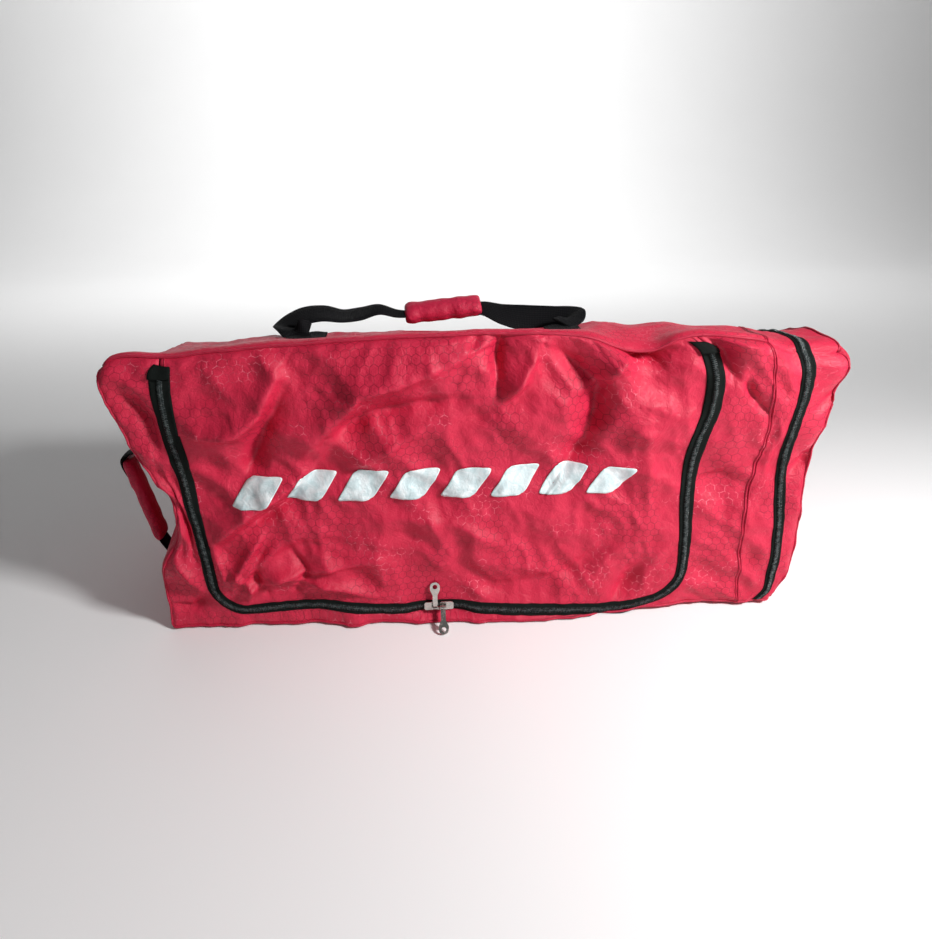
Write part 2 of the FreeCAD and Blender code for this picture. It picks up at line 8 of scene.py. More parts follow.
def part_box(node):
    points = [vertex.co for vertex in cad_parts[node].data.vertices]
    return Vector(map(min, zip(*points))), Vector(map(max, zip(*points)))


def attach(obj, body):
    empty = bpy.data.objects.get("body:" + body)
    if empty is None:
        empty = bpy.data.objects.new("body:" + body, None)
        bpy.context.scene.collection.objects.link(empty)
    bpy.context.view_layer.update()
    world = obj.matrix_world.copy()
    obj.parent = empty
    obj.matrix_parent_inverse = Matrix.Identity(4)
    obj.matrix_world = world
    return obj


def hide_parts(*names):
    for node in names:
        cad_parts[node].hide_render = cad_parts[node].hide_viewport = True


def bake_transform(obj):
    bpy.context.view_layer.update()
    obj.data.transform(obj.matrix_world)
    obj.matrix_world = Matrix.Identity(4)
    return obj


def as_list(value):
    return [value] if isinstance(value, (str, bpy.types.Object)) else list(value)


# A soft hockey equipment bag, empty and slumped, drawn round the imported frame.
# Shapes are worked out in millimetres on the crisp, filled-out form, moved by settle() to where the
# slack cloth hangs, and scaled to metres when they are meshed.
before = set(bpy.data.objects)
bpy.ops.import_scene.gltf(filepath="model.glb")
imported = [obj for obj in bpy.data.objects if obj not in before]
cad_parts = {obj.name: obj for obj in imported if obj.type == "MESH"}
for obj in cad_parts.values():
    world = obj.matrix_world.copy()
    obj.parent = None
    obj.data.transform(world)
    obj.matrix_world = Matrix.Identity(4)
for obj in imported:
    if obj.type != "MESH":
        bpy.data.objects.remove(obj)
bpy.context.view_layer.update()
MM = 0.001


def span(node):
    """Lowest and highest corner of a CAD node, in mm."""
    low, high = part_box(node)
    return np.array(low) / MM, np.array(high) / MM


# ---------------------------------------------------------------- sizes read from the frame
LEFT = span("left_end_panel")[0][0]
RIGHT = span("pocket_cap")[1][0]
FRONT = span("front_surround")[0][1]
BACK = span("back_panel")[1][1]
TOP = span("left_end_panel")[1][2]
CREST_Y, CREST_Z = -80.0, TOP - 8
BACK_TOP = span("piping_top_back")[0][2] + 0.5
INNER_LOW, INNER_HIGH = span("main_zip_coil_inner")
ZIP_GAP = 0.6
ZIP_LEFT, ZIP_RIGHT = INNER_LOW[0] - ZIP_GAP, INNER_HIGH[0] + ZIP_GAP
ZIP_BASE = INNER_LOW[2] - ZIP_GAP
ZIP_TOP = span("main_zip_coil_outer")[1][2]
ZIP_CORNER = 50.0
SEAM_X = span("divider_panel")[1][0]
END_ZIP_X = span("pocket_cap")[0][0] - ZIP_GAP
END_ZIP_FOOT = span("end_zip_tape_body")[0][2]
SLIDERS_X = span("main_zip_slider_left")[1][0] + ZIP_GAP

# ---------------------------------------------------------------- design sizes, in mm
FABRIC = 1.4
FLOOR_CLEAR = 2.0
# Tape that shows beside the teeth: at the tops of the main zip's legs, at its base, and on the end zip.
TAPE_TOP, TAPE_FOOT = 12.0, 8.0
END_TAPE = 8.0
TAPE_LEAST = 10.2
TAPE_STEP = 3.0
TEETH_PITCH = 2.3
STITCH_PITCH = 8.4
STITCH_INSET = 1.5


# ---------------------------------------------------------------- small helpers
def ease(t):
    """Smooth step from 0 to 1 as t goes from 0 to 1."""
    t = np.clip(t, 0.0, 1.0)
    return t * t * (3 - 2 * t)


def smooth_line(points):
    """Function that passes smoothly through (position, value) points and is flat beyond them."""
    xs, ys = (np.array(c, float) for c in zip(*points))
    slopes = np.gradient(ys, xs)

    def value(x):
        x = np.clip(x, xs[0], xs[-1])
        i = np.clip(np.searchsorted(xs, x) - 1, 0, len(xs) - 2)
        h = xs[i + 1] - xs[i]
        t = (x - xs[i]) / h
        return (
            ys[i] * (2 * t**3 - 3 * t**2 + 1)
            + ys[i + 1] * (3 * t**2 - 2 * t**3)
            + h * slopes[i] * (t**3 - 2 * t**2 + t)
            + h * slopes[i + 1] * (t**3 - t**2)
        )

    return value


def ripple(u, v, size, seed):
    """Smooth seeded noise from about -1 to 1, with bumps about size across."""
    turn = np.random.default_rng(seed).uniform(0, 2 * np.pi, (64, 64))
    u, v = np.asarray(u) / size, np.asarray(v) / size
    iu, iv = np.floor(u).astype(int), np.floor(v).astype(int)
    fu, fv = u - iu, v - iv
    su, sv = (t**3 * (t * (6 * t - 15) + 10) for t in (fu, fv))

    def corner(a, b):
        angle = turn[(iu + a) % 64, (iv + b) % 64]
        return np.cos(angle) * (fu - a) + np.sin(angle) * (fv - b)

    near = corner(0, 0) * (1 - su) + corner(1, 0) * su
    far = corner(0, 1) * (1 - su) + corner(1, 1) * su
    return (near * (1 - sv) + far * sv) * 1.5


def crumple(u, v, size, seed):
    """Noise with sharp ridges between soft hollows, like creased cloth, from about -0.5 to 0.5."""
    wu = u + 0.35 * size * ripple(u, v, size * 1.7, seed + 1)
    wv = v + 0.35 * size * ripple(u, v, size * 1.7, seed + 2)
    return 0.5 - 1.6 * np.abs(ripple(wu, wv, size, seed))


def fold(x, z, points, height, wide_left, wide_right):
    """A crease along a line: a ridge (or hollow, if height is negative) with its own width on each side."""
    best = np.full(np.shape(x), 1e9)
    side = np.zeros(np.shape(x))
    along = np.zeros(np.shape(x))
    lengths = [math.dist(a, b) for a, b in zip(points, points[1:])]
    done, total = 0.0, sum(lengths)
    for (ax, az), (bx, bz), length in zip(points, points[1:], lengths):
        dx, dz = (bx - ax) / length, (bz - az) / length
        t = np.clip((x - ax) * dx + (z - az) * dz, 0, length)
        px, pz = x - ax - t * dx, z - az - t * dz
        d = np.hypot(px, pz)
        closer = d < best
        best = np.where(closer, d, best)
        side = np.where(closer, dx * (z - az) - dz * (x - ax), side)
        along = np.where(closer, (done + t) / total, along)
        done += length
    wide = np.where(side > 0, wide_left, wide_right)
    taper = np.sin(np.pi * np.clip(0.12 + 0.76 * along, 0, 1)) ** 0.8
    return height * taper * np.exp(-np.sqrt((best / wide) ** 2 + 0.09) * 1.25 + 0.375)


# ---------------------------------------------------------------- how the slack fabric hangs
# How far each upright line of the front leans along X, by height above the floor.
LEANS = (
    (LEFT, ((0, 12), (50, 13), (90, 14), (112, 22), (138, 38), (165, 45), (205, 43), (235, 29), (280, 11),
            (320, 0), (380, -11), (406, -9))),
    (-383, ((0, 10), (40, 10), (71, 10), (138, 6), (185, 0), (262, -5), (312, -8), (355, -9), (406, -6))),
    (-300, ((0, 4), (60, 3), (120, 0), (406, 0))),
    (0, ((0, 0), (406, 0))),
    (293, ((0, 0), (83, -2), (134, -5), (200, -9), (272, -6), (314, 2), (348, 2), (381, -10), (406, -28))),
    (370, ((12, 14), (80, 6), (147, 0), (210, 2), (269, 9), (326, 4), (379, -4), (406, -12))),
    (420, ((0, -8), (21, 6), (60, 9), (128, 5), (193, -4), (254, -9), (300, -8), (345, -3), (372, -4),
           (406, -8))),
    (RIGHT, ((0, -12), (15, -8), (59, 7), (127, 8), (192, 0), (245, 5), (280, 9), (320, 18), (354, 22),
             (391, 20), (406, 17))),
)
LEAN_AT = [(x, smooth_line(points)) for x, points in LEANS]
# How far the top edge rises or droops along the bag.
TOP_RISE = smooth_line(
    ((LEFT, -14), (-434, -5), (-349, -1), (-250, 6), (-100, 14), (90, 16), (140, 12), (206, -7),
     (240, -7), (273, 8), (324, 11), (360, 5), (400, -6), (430, -6), (RIGHT, -4))
)
# The same for the crest behind the front edge.
CREST_RISE = smooth_line(
    ((LEFT, -30), (-400, -22), (-350, -14), (-290, -5), (-240, -2), (-100, 1), (90, 3), (180, 10),
     (250, 8), (324, 4), (370, -1), (410, -6), (440, -5), (RIGHT, 4))
)
# How far the zip's base sags, and how far the front's foot bulges forward.
BASE_SAG = smooth_line(
    ((LEFT, 0), (-330, 7), (-258, 12), (-205, 10), (-152, 3), (-112, 0), (-61, 0), (-8, -1), (40, -5),
     (119, -10), (209, -13), (253, -5), (RIGHT, 0))
)
FOOT_BULGE = smooth_line(
    ((LEFT, 0), (-300, 3), (-235, 4), (-190, 14), (-140, 12), (-30, 17), (119, 17), (209, 8), (262, 2),
     (RIGHT, 0))
)
# The front caves in under its top edge and swells again lower down.
FRONT_SWELL = smooth_line(
    ((0, 0), (50, 4), (130, 3), (200, -4), (250, -3), (300, 7), (350, 4), (385, 0), (TOP, 0))
)
# Creases of the front: line (x, z), height before FOLD_GAIN, width on the line's left and on its right.
FOLD_GAIN = 2.6
FRONT_FOLDS = (
    (((-354, 300), (-305, 301), (-274, 322), (-252, 364)), 11, 20, 9),
    (((-250, 348), (-282, 288), (-306, 235)), -9, 13, 12),
    (((-190, 290), (-238, 226), (-290, 196), (-366, 141)), 9, 8, 28),
    (((-371, 152), (-366, 112), (-361, 78)), 4, 4, 7),
    (((-300, 38), (-318, 88), (-292, 140)), -4, 5, 8),
    (((-344, 98), (-322, 64), (-332, 38)), 4, 5, 6),
    (((-262, 56), (-244, 92), (-262, 120)), -4, 6, 8),
    (((-215, 240), (-262, 192), (-330, 150)), -5, 12, 6),
    (((-195, 296), (-152, 340), (-104, 351), (-28, 374)), 11, 30, 11),
    (((-226, 246), (-196, 284), (-150, 309), (-90, 320), (-30, 325)), -8, 11, 18),
    (((-165, 244), (-125, 264), (-84, 287)), 5, 14, 7),
    (((-278, 128), (-314, 101), (-354, 70)), 5, 5, 10),
    (((-298, 144), (-321, 117), (-346, 84)), 5, 4, 8),
    (((-146, 104), (-214, 96), (-275, 86), (-335, 58)), 5, 6, 12),
    (((-278, 84), (-217, 66), (-150, 44)), 5, 10, 6),
    (((-285, 118), (-240, 130), (-200, 134)), -4, 14, 14),
    (((-6, 402), (-17, 380)), -4, 8, 8),
    (((22, 400), (15, 369), (19, 330)), -8, 10, 9),
    (((64, 372), (46, 342), (22, 314)), 8, 8, 14),
    (((92, 378), (148, 340), (147, 302), (139, 264), (114, 230)), -12, 14, 24),
    (((202, 404), (181, 382), (140, 342)), 8, 8, 15),
    (((190, 398), (222, 392), (250, 400)), -13, 14, 16),
    (((234, 84), (207, 47), (176, 8)), -7, 14, 12),
    (((-30, 296), (11, 308), (60, 337)), -5, 13, 14),
    (((336, 352), (342, 332), (366, 306)), -5, 8, 9),
    (((312, 396), (338, 398), (360, 388)), 10, 20, 24),
    (((300, 209), (333, 216), (366, 200)), -2, 8, 10),
    (((460, 354), (444, 321), (428, 296)), -4, 12, 12),
    (((421, 204), (439, 228), (452, 254)), -7, 9, 9),
    (((296, 404), (312, 380), (316, 350)), -8, 9, 12),
    (((-432, 352), (-410, 318), (-408, 280)), -6, 10, 10),
    (((-425, 214), (-404, 160), (-398, 110)), -6, 7, 9),
    (((-440, 120), (-412, 92), (-398, 60)), 5, 8, 6),
    (((-446, 40), (-418, 30), (-396, 46)), -5, 8, 8),
    (((30, 120), (-40, 160), (-120, 168)), 4, 18, 14),
    (((210, 300), (232, 240), (236, 170)), 5, 16, 22),
    (((60, 60), (130, 74), (190, 120)), -4, 16, 14),
)


def height_at(y):
    """Height of the crisp shell's top at a depth."""
    return np.interp(y, (FRONT, CREST_Y, BACK), (TOP, CREST_Z, BACK_TOP))


def outside_zip(x, z):
    """Distance outside the U of the main zip, negative inside it."""
    middle, half = (ZIP_LEFT + ZIP_RIGHT) / 2, (ZIP_RIGHT - ZIP_LEFT) / 2 - ZIP_CORNER
    a = np.abs(x - middle) - half
    b = ZIP_BASE + ZIP_CORNER - z
    return np.hypot(np.maximum(a, 0), np.maximum(b, 0)) + np.minimum(np.maximum(a, b), 0) - ZIP_CORNER


def calm_at_sliders(x, z):
    """1 over most of the front, and almost 0 where the sliders need it flat."""
    near = np.exp(-(np.abs(x - SLIDERS_X) / 46) ** 4)
    return 1 - 0.97 * near * ease((z - 3) / 13) * ease((100 - z) / 36)


def front_relief(x, z):
    """How far the front stands out of its flat plane."""
    swell = FRONT_SWELL(z) * ease((x - LEFT) / 90) * ease((RIGHT - x) / 60)
    foot = FOOT_BULGE(x) * np.exp(-((z / 32) ** 2))
    creases = FOLD_GAIN * sum(fold(x, z, *f) for f in FRONT_FOLDS)
    creases += 8.0 * crumple(x + 0.5 * z, z, 92, 11) + 4.0 * crumple(x, z + 0.3 * x, 44, 23)
    creases += 1.3 * crumple(x, z, 22, 31)
    from_zips = np.minimum(np.abs(outside_zip(x, z)), np.abs(x - END_ZIP_X))
    stiff = np.exp(-((from_zips / 17) ** 2))
    pucker = 1.1 * np.exp(-((from_zips / 20) ** 2)) * ripple(x, z, 13, 5)
    rim = ease((TOP - z) / 14 + 0.35)
    return (swell + foot + (creases * (1 - 0.93 * stiff) + pucker) * rim) * calm_at_sliders(x, z)


def lean(x, z):
    """How far a point is carried along X by the slump of the uprights."""
    values = [curve(z) for _, curve in LEAN_AT]
    stations = [at for at, _ in LEAN_AT]
    out = values[0]
    for i in range(len(stations) - 1):
        share = ease((x - stations[i]) / (stations[i + 1] - stations[i]))
        out = out + (values[i + 1] - values[i]) * share
    return out


INWARD = {
    "front": (0, 1, 0), "back": (0, -1, 0), "left": (1, 0, 0), "right": (-1, 0, 0),
    "top": (0, 0, -1), "bottom": (0, 0, 1),
}
# Radius to which the cloth rounds each edge off. The front-top edge has its own, fuller on the pocket.
# ROUNDING is how far in a round edge lies from the sharp one, along each face, as a share of the radius.
EDGE_RADII = (
    ("back", "top", 34), ("left", "top", 22), ("right", "top", 26), ("left", "front", 16),
    ("left", "back", 26), ("right", "front", 22), ("right", "back", 30), ("front", "bottom", 9),
    ("back", "bottom", 12), ("left", "bottom", 12), ("right", "bottom", 12),
)
ROUNDING = 0.293


def depths(x, y, z):
    """How far a point lies inside each face of the crisp shell."""
    return {
        "front": y - FRONT, "back": BACK - y, "left": x - LEFT, "right": RIGHT - x,
        "top": height_at(y) - z, "bottom": z,
    }


def rounded_edges(points, depth):
    """Moves that round the crisp shell's edges off."""
    move = np.zeros_like(points)
    plump = 26 + 20 * ease((points[..., 0] - SEAM_X) / 40)
    for a, b, radius in (("front", "top", plump), *EDGE_RADII):
        near = [np.clip(1 - np.maximum(depth[k], 0) / radius, 0, 1) ** 2 for k in (a, b)]
        pull = ROUNDING * radius * near[0] * near[1]
        for k in (a, b):
            move += pull[..., None] * np.array(INWARD[k], float)
    return move


def lifted(x, y, z, front, over, ends):
    """How far a point rises: the wavy top, the sag and rumples behind its edge, and the zip's slumped base."""
    behind = ease((y - FRONT) / 80)
    to_back = ease((150 - y) / 220)
    rise = (TOP_RISE(x) * (1 - behind) + CREST_RISE(x) * behind) * ease((z - 190) / 200) * to_back
    rise = rise + 4 * ease((x - 190) / 50) * ease((30 - z) / 30) * to_back
    sag = -9 * over * (1 - ends) * np.sin(np.pi * np.clip((y - CREST_Y) / (BACK - CREST_Y), 0, 1))
    rumple = over * (1 - front * 0.75) * (3.6 * crumple(x, y, 90, 41) + 1.6 * crumple(x, y, 34, 43))
    base = BASE_SAG(x) * np.exp(-(((z - ZIP_BASE) / 38) ** 2)) * front * ease(z / 14)
    slip = -10 * np.exp(-(((x - ZIP_LEFT) / 34) ** 2) - ((z - 384) / 26) ** 2) * front
    return rise + sag + rumple + base + slip


def back_relief(x, z, rear, over, ends):
    """How far the back caves in and creases."""
    hollow = 4 * np.sin(np.pi * np.clip(z / 320, 0, 1)) * (1 - ends)
    hollow = hollow + 5 * crumple(x + 0.4 * z, z, 96, 51) + 2.0 * crumple(x, z, 38, 53)
    by_zip = 1 - 0.9 * np.exp(-(((x - END_ZIP_X) / 26) ** 2))
    return hollow * rear * ease(z / 30) * (1 - 0.7 * over) * by_zip


def settle(points):
    """Points of the crisp shell, in mm, moved to where the slack fabric hangs."""
    p = np.asarray(points, float)
    x, y, z = p[..., 0], p[..., 1], p[..., 2]
    depth = depths(x, y, z)
    move = rounded_edges(p, depth)
    front = ease((-70 - y) / 105)
    rear = ease((y - 40) / 130)
    over = ease(1 - np.maximum(depth["top"], 0) / 60)
    ends = ease((np.abs(x) - 300) / 150)
    move[..., 0] += lean(x, z) * (0.45 + 0.55 * front) * (1 - 0.25 * rear)
    move[..., 1] -= front_relief(x, z) * front * (1 - 0.6 * over * ease((y - FRONT) / 40))
    move[..., 1] += back_relief(x, z, rear, over, ends)
    move[..., 2] += lifted(x, y, z, front, over, ends)
    end_relief = 4.5 * crumple(y + 0.3 * z, z, 88, 61) + 2.0 * crumple(y, z, 36, 63)
    end_relief = end_relief * ease(z / 30) * (1 - front * 0.8)
    move[..., 0] -= end_relief * ease(1 - np.maximum(depth["left"], 0) / 40)
    move[..., 0] += end_relief * ease(1 - np.maximum(depth["right"], 0) / 30)
    settled = p + move
    settled[..., 2] = np.maximum(settled[..., 2], np.minimum(z, FLOOR_CLEAR))
    return settled


# ---------------------------------------------------------------- meshes
def make_mesh(name, points, faces, flat=None, smooth=True):
    """New object from points in mm, faces, and optional flat cloth coordinates in mm."""
    mesh = bpy.data.meshes.new(name)
    mesh.from_pydata((np.asarray(points) * MM).tolist(), [], faces)
    if flat is not None:
        layer = mesh.uv_layers.new(name="cloth")
        loops = np.zeros(len(mesh.loops), int)
        mesh.loops.foreach_get("vertex_index", loops)
        layer.data.foreach_set("uv", (np.asarray(flat, float)[loops] * MM).astype(np.float32).ravel())
    mesh.polygons.foreach_set("use_smooth", [smooth] * len(mesh.polygons))
    mesh.update()
    obj = bpy.data.objects.new(name, mesh)
    bpy.context.scene.collection.objects.link(obj)
    return obj


def grid_faces(rows, columns, closed=False):
    """Quads of a grid of points, row by row; closed joins the last column to the first."""
    wide = columns if closed else columns - 1
    faces = []
    for r in range(rows - 1):
        here, next_row = r * columns, (r + 1) * columns
        for c in range(wide):
            d = (c + 1) % columns
            faces.append((here + c, here + d, next_row + d, next_row + c))
    return faces


MIDDLE = np.array([0.0, 0.0, 180.0])


def face_outward(points, faces, middle=MIDDLE):
    """The faces, all turned round if most of them look towards the bag's middle."""
    a, b, c = (points[[f[i] for f in faces]] for i in range(3))
    normal = np.cross(b - a, c - a)
    if (normal * ((a + b + c) / 3 - middle)).sum() < 0:
        return [f[::-1] for f in faces]
    return faces


def bake(obj):
    """Apply all modifiers of an object."""
    bpy.context.view_layer.update()
    graph = bpy.context.evaluated_depsgraph_get()
    mesh = bpy.data.meshes.new_from_object(obj.evaluated_get(graph))
    obj.modifiers.clear()
    obj.data = mesh


def thicken(obj, thick, lining=None):
    """Give a sheet its thickness, inwards, with a lining material on its inner side if one is named."""
    if lining:
        obj.data.materials.append(MATERIALS[lining])
    solid = obj.modifiers.new("thickness", "SOLIDIFY")
    solid.thickness = thick * MM
    solid.offset = -1.0
    solid.material_offset = 1 if lining else 0
    bake(obj)


def dress(obj, material, *nodes):
    """Give a piece its material, in a slot of the same name, and hide the CAD nodes that it stands for."""
    obj.data.materials.append(MATERIALS[material])
    if nodes:
        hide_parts(*nodes)


def declare_sheet(flat, held, rests_on, faces=None, cut=None):
    """Work out a cloth's cut size from its flat coordinates in mm, their extent unless cut gives it, and its
    area; neither is kept.
    """
    flat = np.asarray(flat, float).reshape(-1, 2)
    size = (flat.max(0) - flat.min(0)) * MM if cut is None else np.array(cut) * MM
    area = None
    if faces is not None:
        corners = flat[np.array(faces)] * MM
        x, y = corners[..., 0], corners[..., 1]
        area = float(np.abs((x * np.roll(y, -1, 1) - y * np.roll(x, -1, 1)).sum(1)).sum() / 2)
        area = min(area, float(size[0] * size[1]))
    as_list(rests_on)


def cut_out(points, flat, faces, keep, snap):
    """The part of a grid where keep(x, z) is positive, with its cut edge moved onto the cutting line by snap."""
    centre = points[np.array(faces)].mean(1)
    inside = keep(centre[:, 0], centre[:, 2]) > 0
    kept, whole = np.zeros(len(points), int), np.zeros(len(points), int)
    np.add.at(whole, np.array(faces), 1)
    faces = [f for f, ok in zip(faces, inside) if ok]
    np.add.at(kept, np.array(faces), 1)
    edge = (kept > 0) & (kept < whole)
    points = points.copy()
    points[edge] = snap(points[edge])
    used = np.unique(np.array(faces))
    renumber = np.zeros(len(points), int)
    renumber[used] = np.arange(len(used))
    return points[used], flat[used], [tuple(int(renumber[i]) for i in f) for f in faces]


def cloth_panel(name, rest, flat, body, nodes, held, rests_on, keep=None, snap=None, cut=None):
    """A sheet of the shell from a grid of rest points, cut to keep, settled, thickened and lined."""
    rows, columns = rest.shape[:2]
    faces = grid_faces(rows, columns)
    points = rest.reshape(-1, 3)
    flat = flat.reshape(-1, 2)
    if keep is not None:
        points, flat, faces = cut_out(points, flat, faces, keep, snap)
    settled = settle(points)
    obj = make_mesh(name, settled, face_outward(settled, faces), flat)
    dress(obj, "red_fabric", *nodes)
    thicken(obj, FABRIC, "lining")
    if body:
        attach(obj, body)
    declare_sheet(flat, held, rests_on, faces, cut)
    return obj


CORD_SIDES = 8


def tube(name, path, radius, body, *nodes):
    """Round cord of red welting along a path of rest points."""
    path = settle(path)
    ahead = np.gradient(path, axis=0)
    ahead /= np.linalg.norm(ahead, axis=1)[:, None]
    across = np.cross(ahead, (0.13, 0.37, 0.91))
    across /= np.linalg.norm(across, axis=1)[:, None]
    up = np.cross(across, ahead)
    angles = np.arange(CORD_SIDES) * 2 * np.pi / CORD_SIDES
    ring = np.cos(angles)[None, :, None] * across[:, None] + np.sin(angles)[None, :, None] * up[:, None]
    points = (path[:, None] + radius * ring).reshape(-1, 3)
    run = np.concatenate([[0], np.cumsum(np.linalg.norm(np.diff(path, axis=0), axis=1))])
    flat = np.stack(np.broadcast_arrays(angles[None] * radius, run[:, None]), -1).reshape(-1, 2)
    faces = grid_faces(len(path), CORD_SIDES, closed=True)
    faces += [tuple(range(CORD_SIDES))[::-1], tuple(range(len(points) - CORD_SIDES, len(points)))]
    obj = make_mesh(name, points, faces, flat)
    dress(obj, "red_welt", *nodes)
    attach(obj, body)


# ---------------------------------------------------------------- materials
class Wiring:
    """Short calls for building a material's nodes."""

    def __init__(self, name):
        self.material = bpy.data.materials.new(name)
        self.material.use_nodes = True
        self.tree = self.material.node_tree
        self.tree.nodes.clear()
        self.shader = self.add("ShaderNodeBsdfPrincipled")
        out = self.add("ShaderNodeOutputMaterial")
        self.link(self.shader.outputs[0], out.inputs[0])

    def add(self, kind, **settings):
        node = self.tree.nodes.new(kind)
        for key, value in settings.items():
            setattr(node, key, value)
        return node

    def link(self, source, target):
        self.tree.links.new(source, target)

    def feed(self, socket, value):
        """Link a socket or set a plain value."""
        if isinstance(value, bpy.types.NodeSocket):
            self.link(value, socket)
        else:
            socket.default_value = value

    def math(self, operation, a, b=0.0, c=0.0, clamp=False):
        node = self.add("ShaderNodeMath", operation=operation, use_clamp=clamp)
        for socket, value in zip(node.inputs, (a, b, c)):
            self.feed(socket, value)
        return node.outputs[0]

    def vector(self, operation, a, b=None, c=None):
        node = self.add("ShaderNodeVectorMath", operation=operation)
        for socket, value in zip(node.inputs, (a, b, c)):
            if value is not None:
                self.feed(socket, value)
        return node

    def range(self, value, low, high, to_low=0.0, to_high=1.0):
        node = self.add("ShaderNodeMapRange", interpolation_type="SMOOTHSTEP")
        for socket, v in zip(node.inputs, (value, low, high, to_low, to_high)):
            self.feed(socket, v)
        return node.outputs[0]

    def mix(self, factor, a, b):
        node = self.add("ShaderNodeMix", data_type="RGBA")
        self.feed(node.inputs[0], factor)
        self.colour(node.inputs[6], a)
        self.colour(node.inputs[7], b)
        return node.outputs[2]

    def noise(self, where, per_mm, detail=2.0, rough=0.5, distortion=0.0):
        """Noise with bumps 1/per_mm mm across on coordinates in mm."""
        node = self.add("ShaderNodeTexNoise")
        self.feed(node.inputs["Vector"], where)
        node.inputs["Scale"].default_value = per_mm
        node.inputs["Detail"].default_value = detail
        node.inputs["Roughness"].default_value = rough
        node.inputs["Distortion"].default_value = distortion
        return node.outputs[0]

    def scaled(self, source, by):
        node = self.vector("SCALE", source)
        node.inputs["Scale"].default_value = by
        return node.outputs[0]

    def flat(self):
        """The flat cloth coordinates in mm."""
        return self.scaled(self.add("ShaderNodeUVMap", uv_map="cloth").outputs[0], 1 / MM)

    def place(self):
        """Position on the object in mm."""
        return self.scaled(self.add("ShaderNodeTexCoord").outputs["Object"], 1 / MM)

    def colour(self, socket, value):
        """Link a colour or set a plain one."""
        self.feed(socket, value if isinstance(value, bpy.types.NodeSocket) else (*value, 1))

    def bump(self, height, distance_mm, strength=1.0, under=None):
        node = self.add("ShaderNodeBump")
        node.inputs["Strength"].default_value = strength
        node.inputs["Distance"].default_value = distance_mm * MM
        self.feed(node.inputs["Height"], height)
        if under is not None:
            self.link(under, node.inputs["Normal"])
        return node.outputs[0]

    def finish(self, colour, rough, normal=None, **plain):
        self.colour(self.shader.inputs["Base Color"], colour)
        self.feed(self.shader.inputs["Roughness"], rough)
        if normal is not None:
            self.link(normal, self.shader.inputs["Normal"])
        for key, value in plain.items():
            self.shader.inputs[key.replace("_", " ")].default_value = value
        return self.material


def honeycomb(w, where, pitch):
    """Distance from the nearest outline of a honeycomb of upright hexagons, in pitches."""
    scaled = w.scaled(where, 1.0 / pitch)
    tile = (1.0, math.sqrt(3), 1.0)
    half = tuple(v / 2 for v in tile)
    low = tuple(-v / 2 for v in tile)
    first = w.vector("WRAP", scaled, half, low).outputs[0]
    moved = w.vector("SUBTRACT", scaled, (half[0], half[1], 0.0)).outputs[0]
    second = w.vector("WRAP", moved, half, low).outputs[0]
    far_first, far_second = (w.vector("LENGTH", v).outputs["Value"] for v in (first, second))
    nearer = w.math("LESS_THAN", far_first, far_second)
    pick = w.add("ShaderNodeMix", data_type="VECTOR")
    w.feed(pick.inputs[0], nearer)
    w.feed(pick.inputs[4], second)
    w.feed(pick.inputs[5], first)
    parts = w.add("ShaderNodeSeparateXYZ")
    w.link(w.vector("ABSOLUTE", pick.outputs[1]).outputs[0], parts.inputs[0])
    sideways = w.math("MULTIPLY", parts.outputs[0], 0.5)
    slanted = w.math("MULTIPLY_ADD", parts.outputs[1], math.sqrt(3) / 2, sideways)
    return w.math("SUBTRACT", 0.5, w.math("MAXIMUM", parts.outputs[0], slanted))


def red_cloth(name, base, bright, dark, pale, pitch=11.2, prints=1.0):
    """Coated polyester with a honeycomb print that is dark in some patches and pale in others."""
    w = Wiring(name)
    flat = w.flat()
    edge = honeycomb(w, flat, pitch)
    line = w.range(edge, 0.02, 0.06, 1.0, 0.0)
    grain = w.noise(flat, 0.9, 3, 0.6)
    dark_patch = w.range(w.noise(flat, 0.010, 2, 0.5), 0.44, 0.56)
    elsewhere = w.vector("ADD", flat, (731.0, 217.0, 0.0)).outputs[0]
    pale_patch = w.range(w.noise(elsewhere, 0.016, 2, 0.55), 0.53, 0.66)
    broken = w.range(w.noise(flat, 0.22, 2, 0.6), 0.42, 0.60)
    cloudy = w.noise(flat, 0.028, 3, 0.6, 0.4)
    tint = w.mix(w.math("MULTIPLY", w.range(cloudy, 0.35, 0.7), 0.4), base, bright)
    tint = w.mix(w.math("MULTIPLY", w.range(grain, 0.35, 0.75), 0.4), tint, bright)
    pale_line = w.math("MULTIPLY", w.math("MULTIPLY", line, pale_patch), broken)
    dark_line = w.math("MULTIPLY", w.math("MULTIPLY", line, dark_patch), w.math("SUBTRACT", 1.0, pale_patch))
    tint = w.mix(w.math("MULTIPLY", dark_line, 0.62 * prints), tint, dark)
    tint = w.mix(w.math("MULTIPLY", pale_line, 0.55 * prints), tint, pale)
    creased = w.noise(flat, 0.075, 4, 0.62, 1.2)
    ridges = w.math("ABSOLUTE", w.math("SUBTRACT", w.noise(flat, 0.034, 4, 0.6, 1.0), 0.5))
    fine = w.noise(flat, 0.45, 3, 0.6, 0.6)
    weave = w.add("ShaderNodeTexWave", wave_type="BANDS", bands_direction="DIAGONAL")
    w.link(flat, weave.inputs["Vector"])
    weave.inputs["Scale"].default_value = 0.32
    normal = w.bump(ridges, 3.6, 0.7)
    normal = w.bump(creased, 1.5, 0.8, normal)
    normal = w.bump(fine, 0.6, 0.6, normal)
    normal = w.bump(weave.outputs[1], 0.12, 0.35, normal)
    normal = w.bump(w.math("MULTIPLY", line, -1.0), 0.25, 0.4 * prints, normal)
    rough = w.range(creased, 0.3, 0.7, 0.46, 0.60)
    return w.finish(tint, rough, normal, Specular_IOR_Level=0.32)


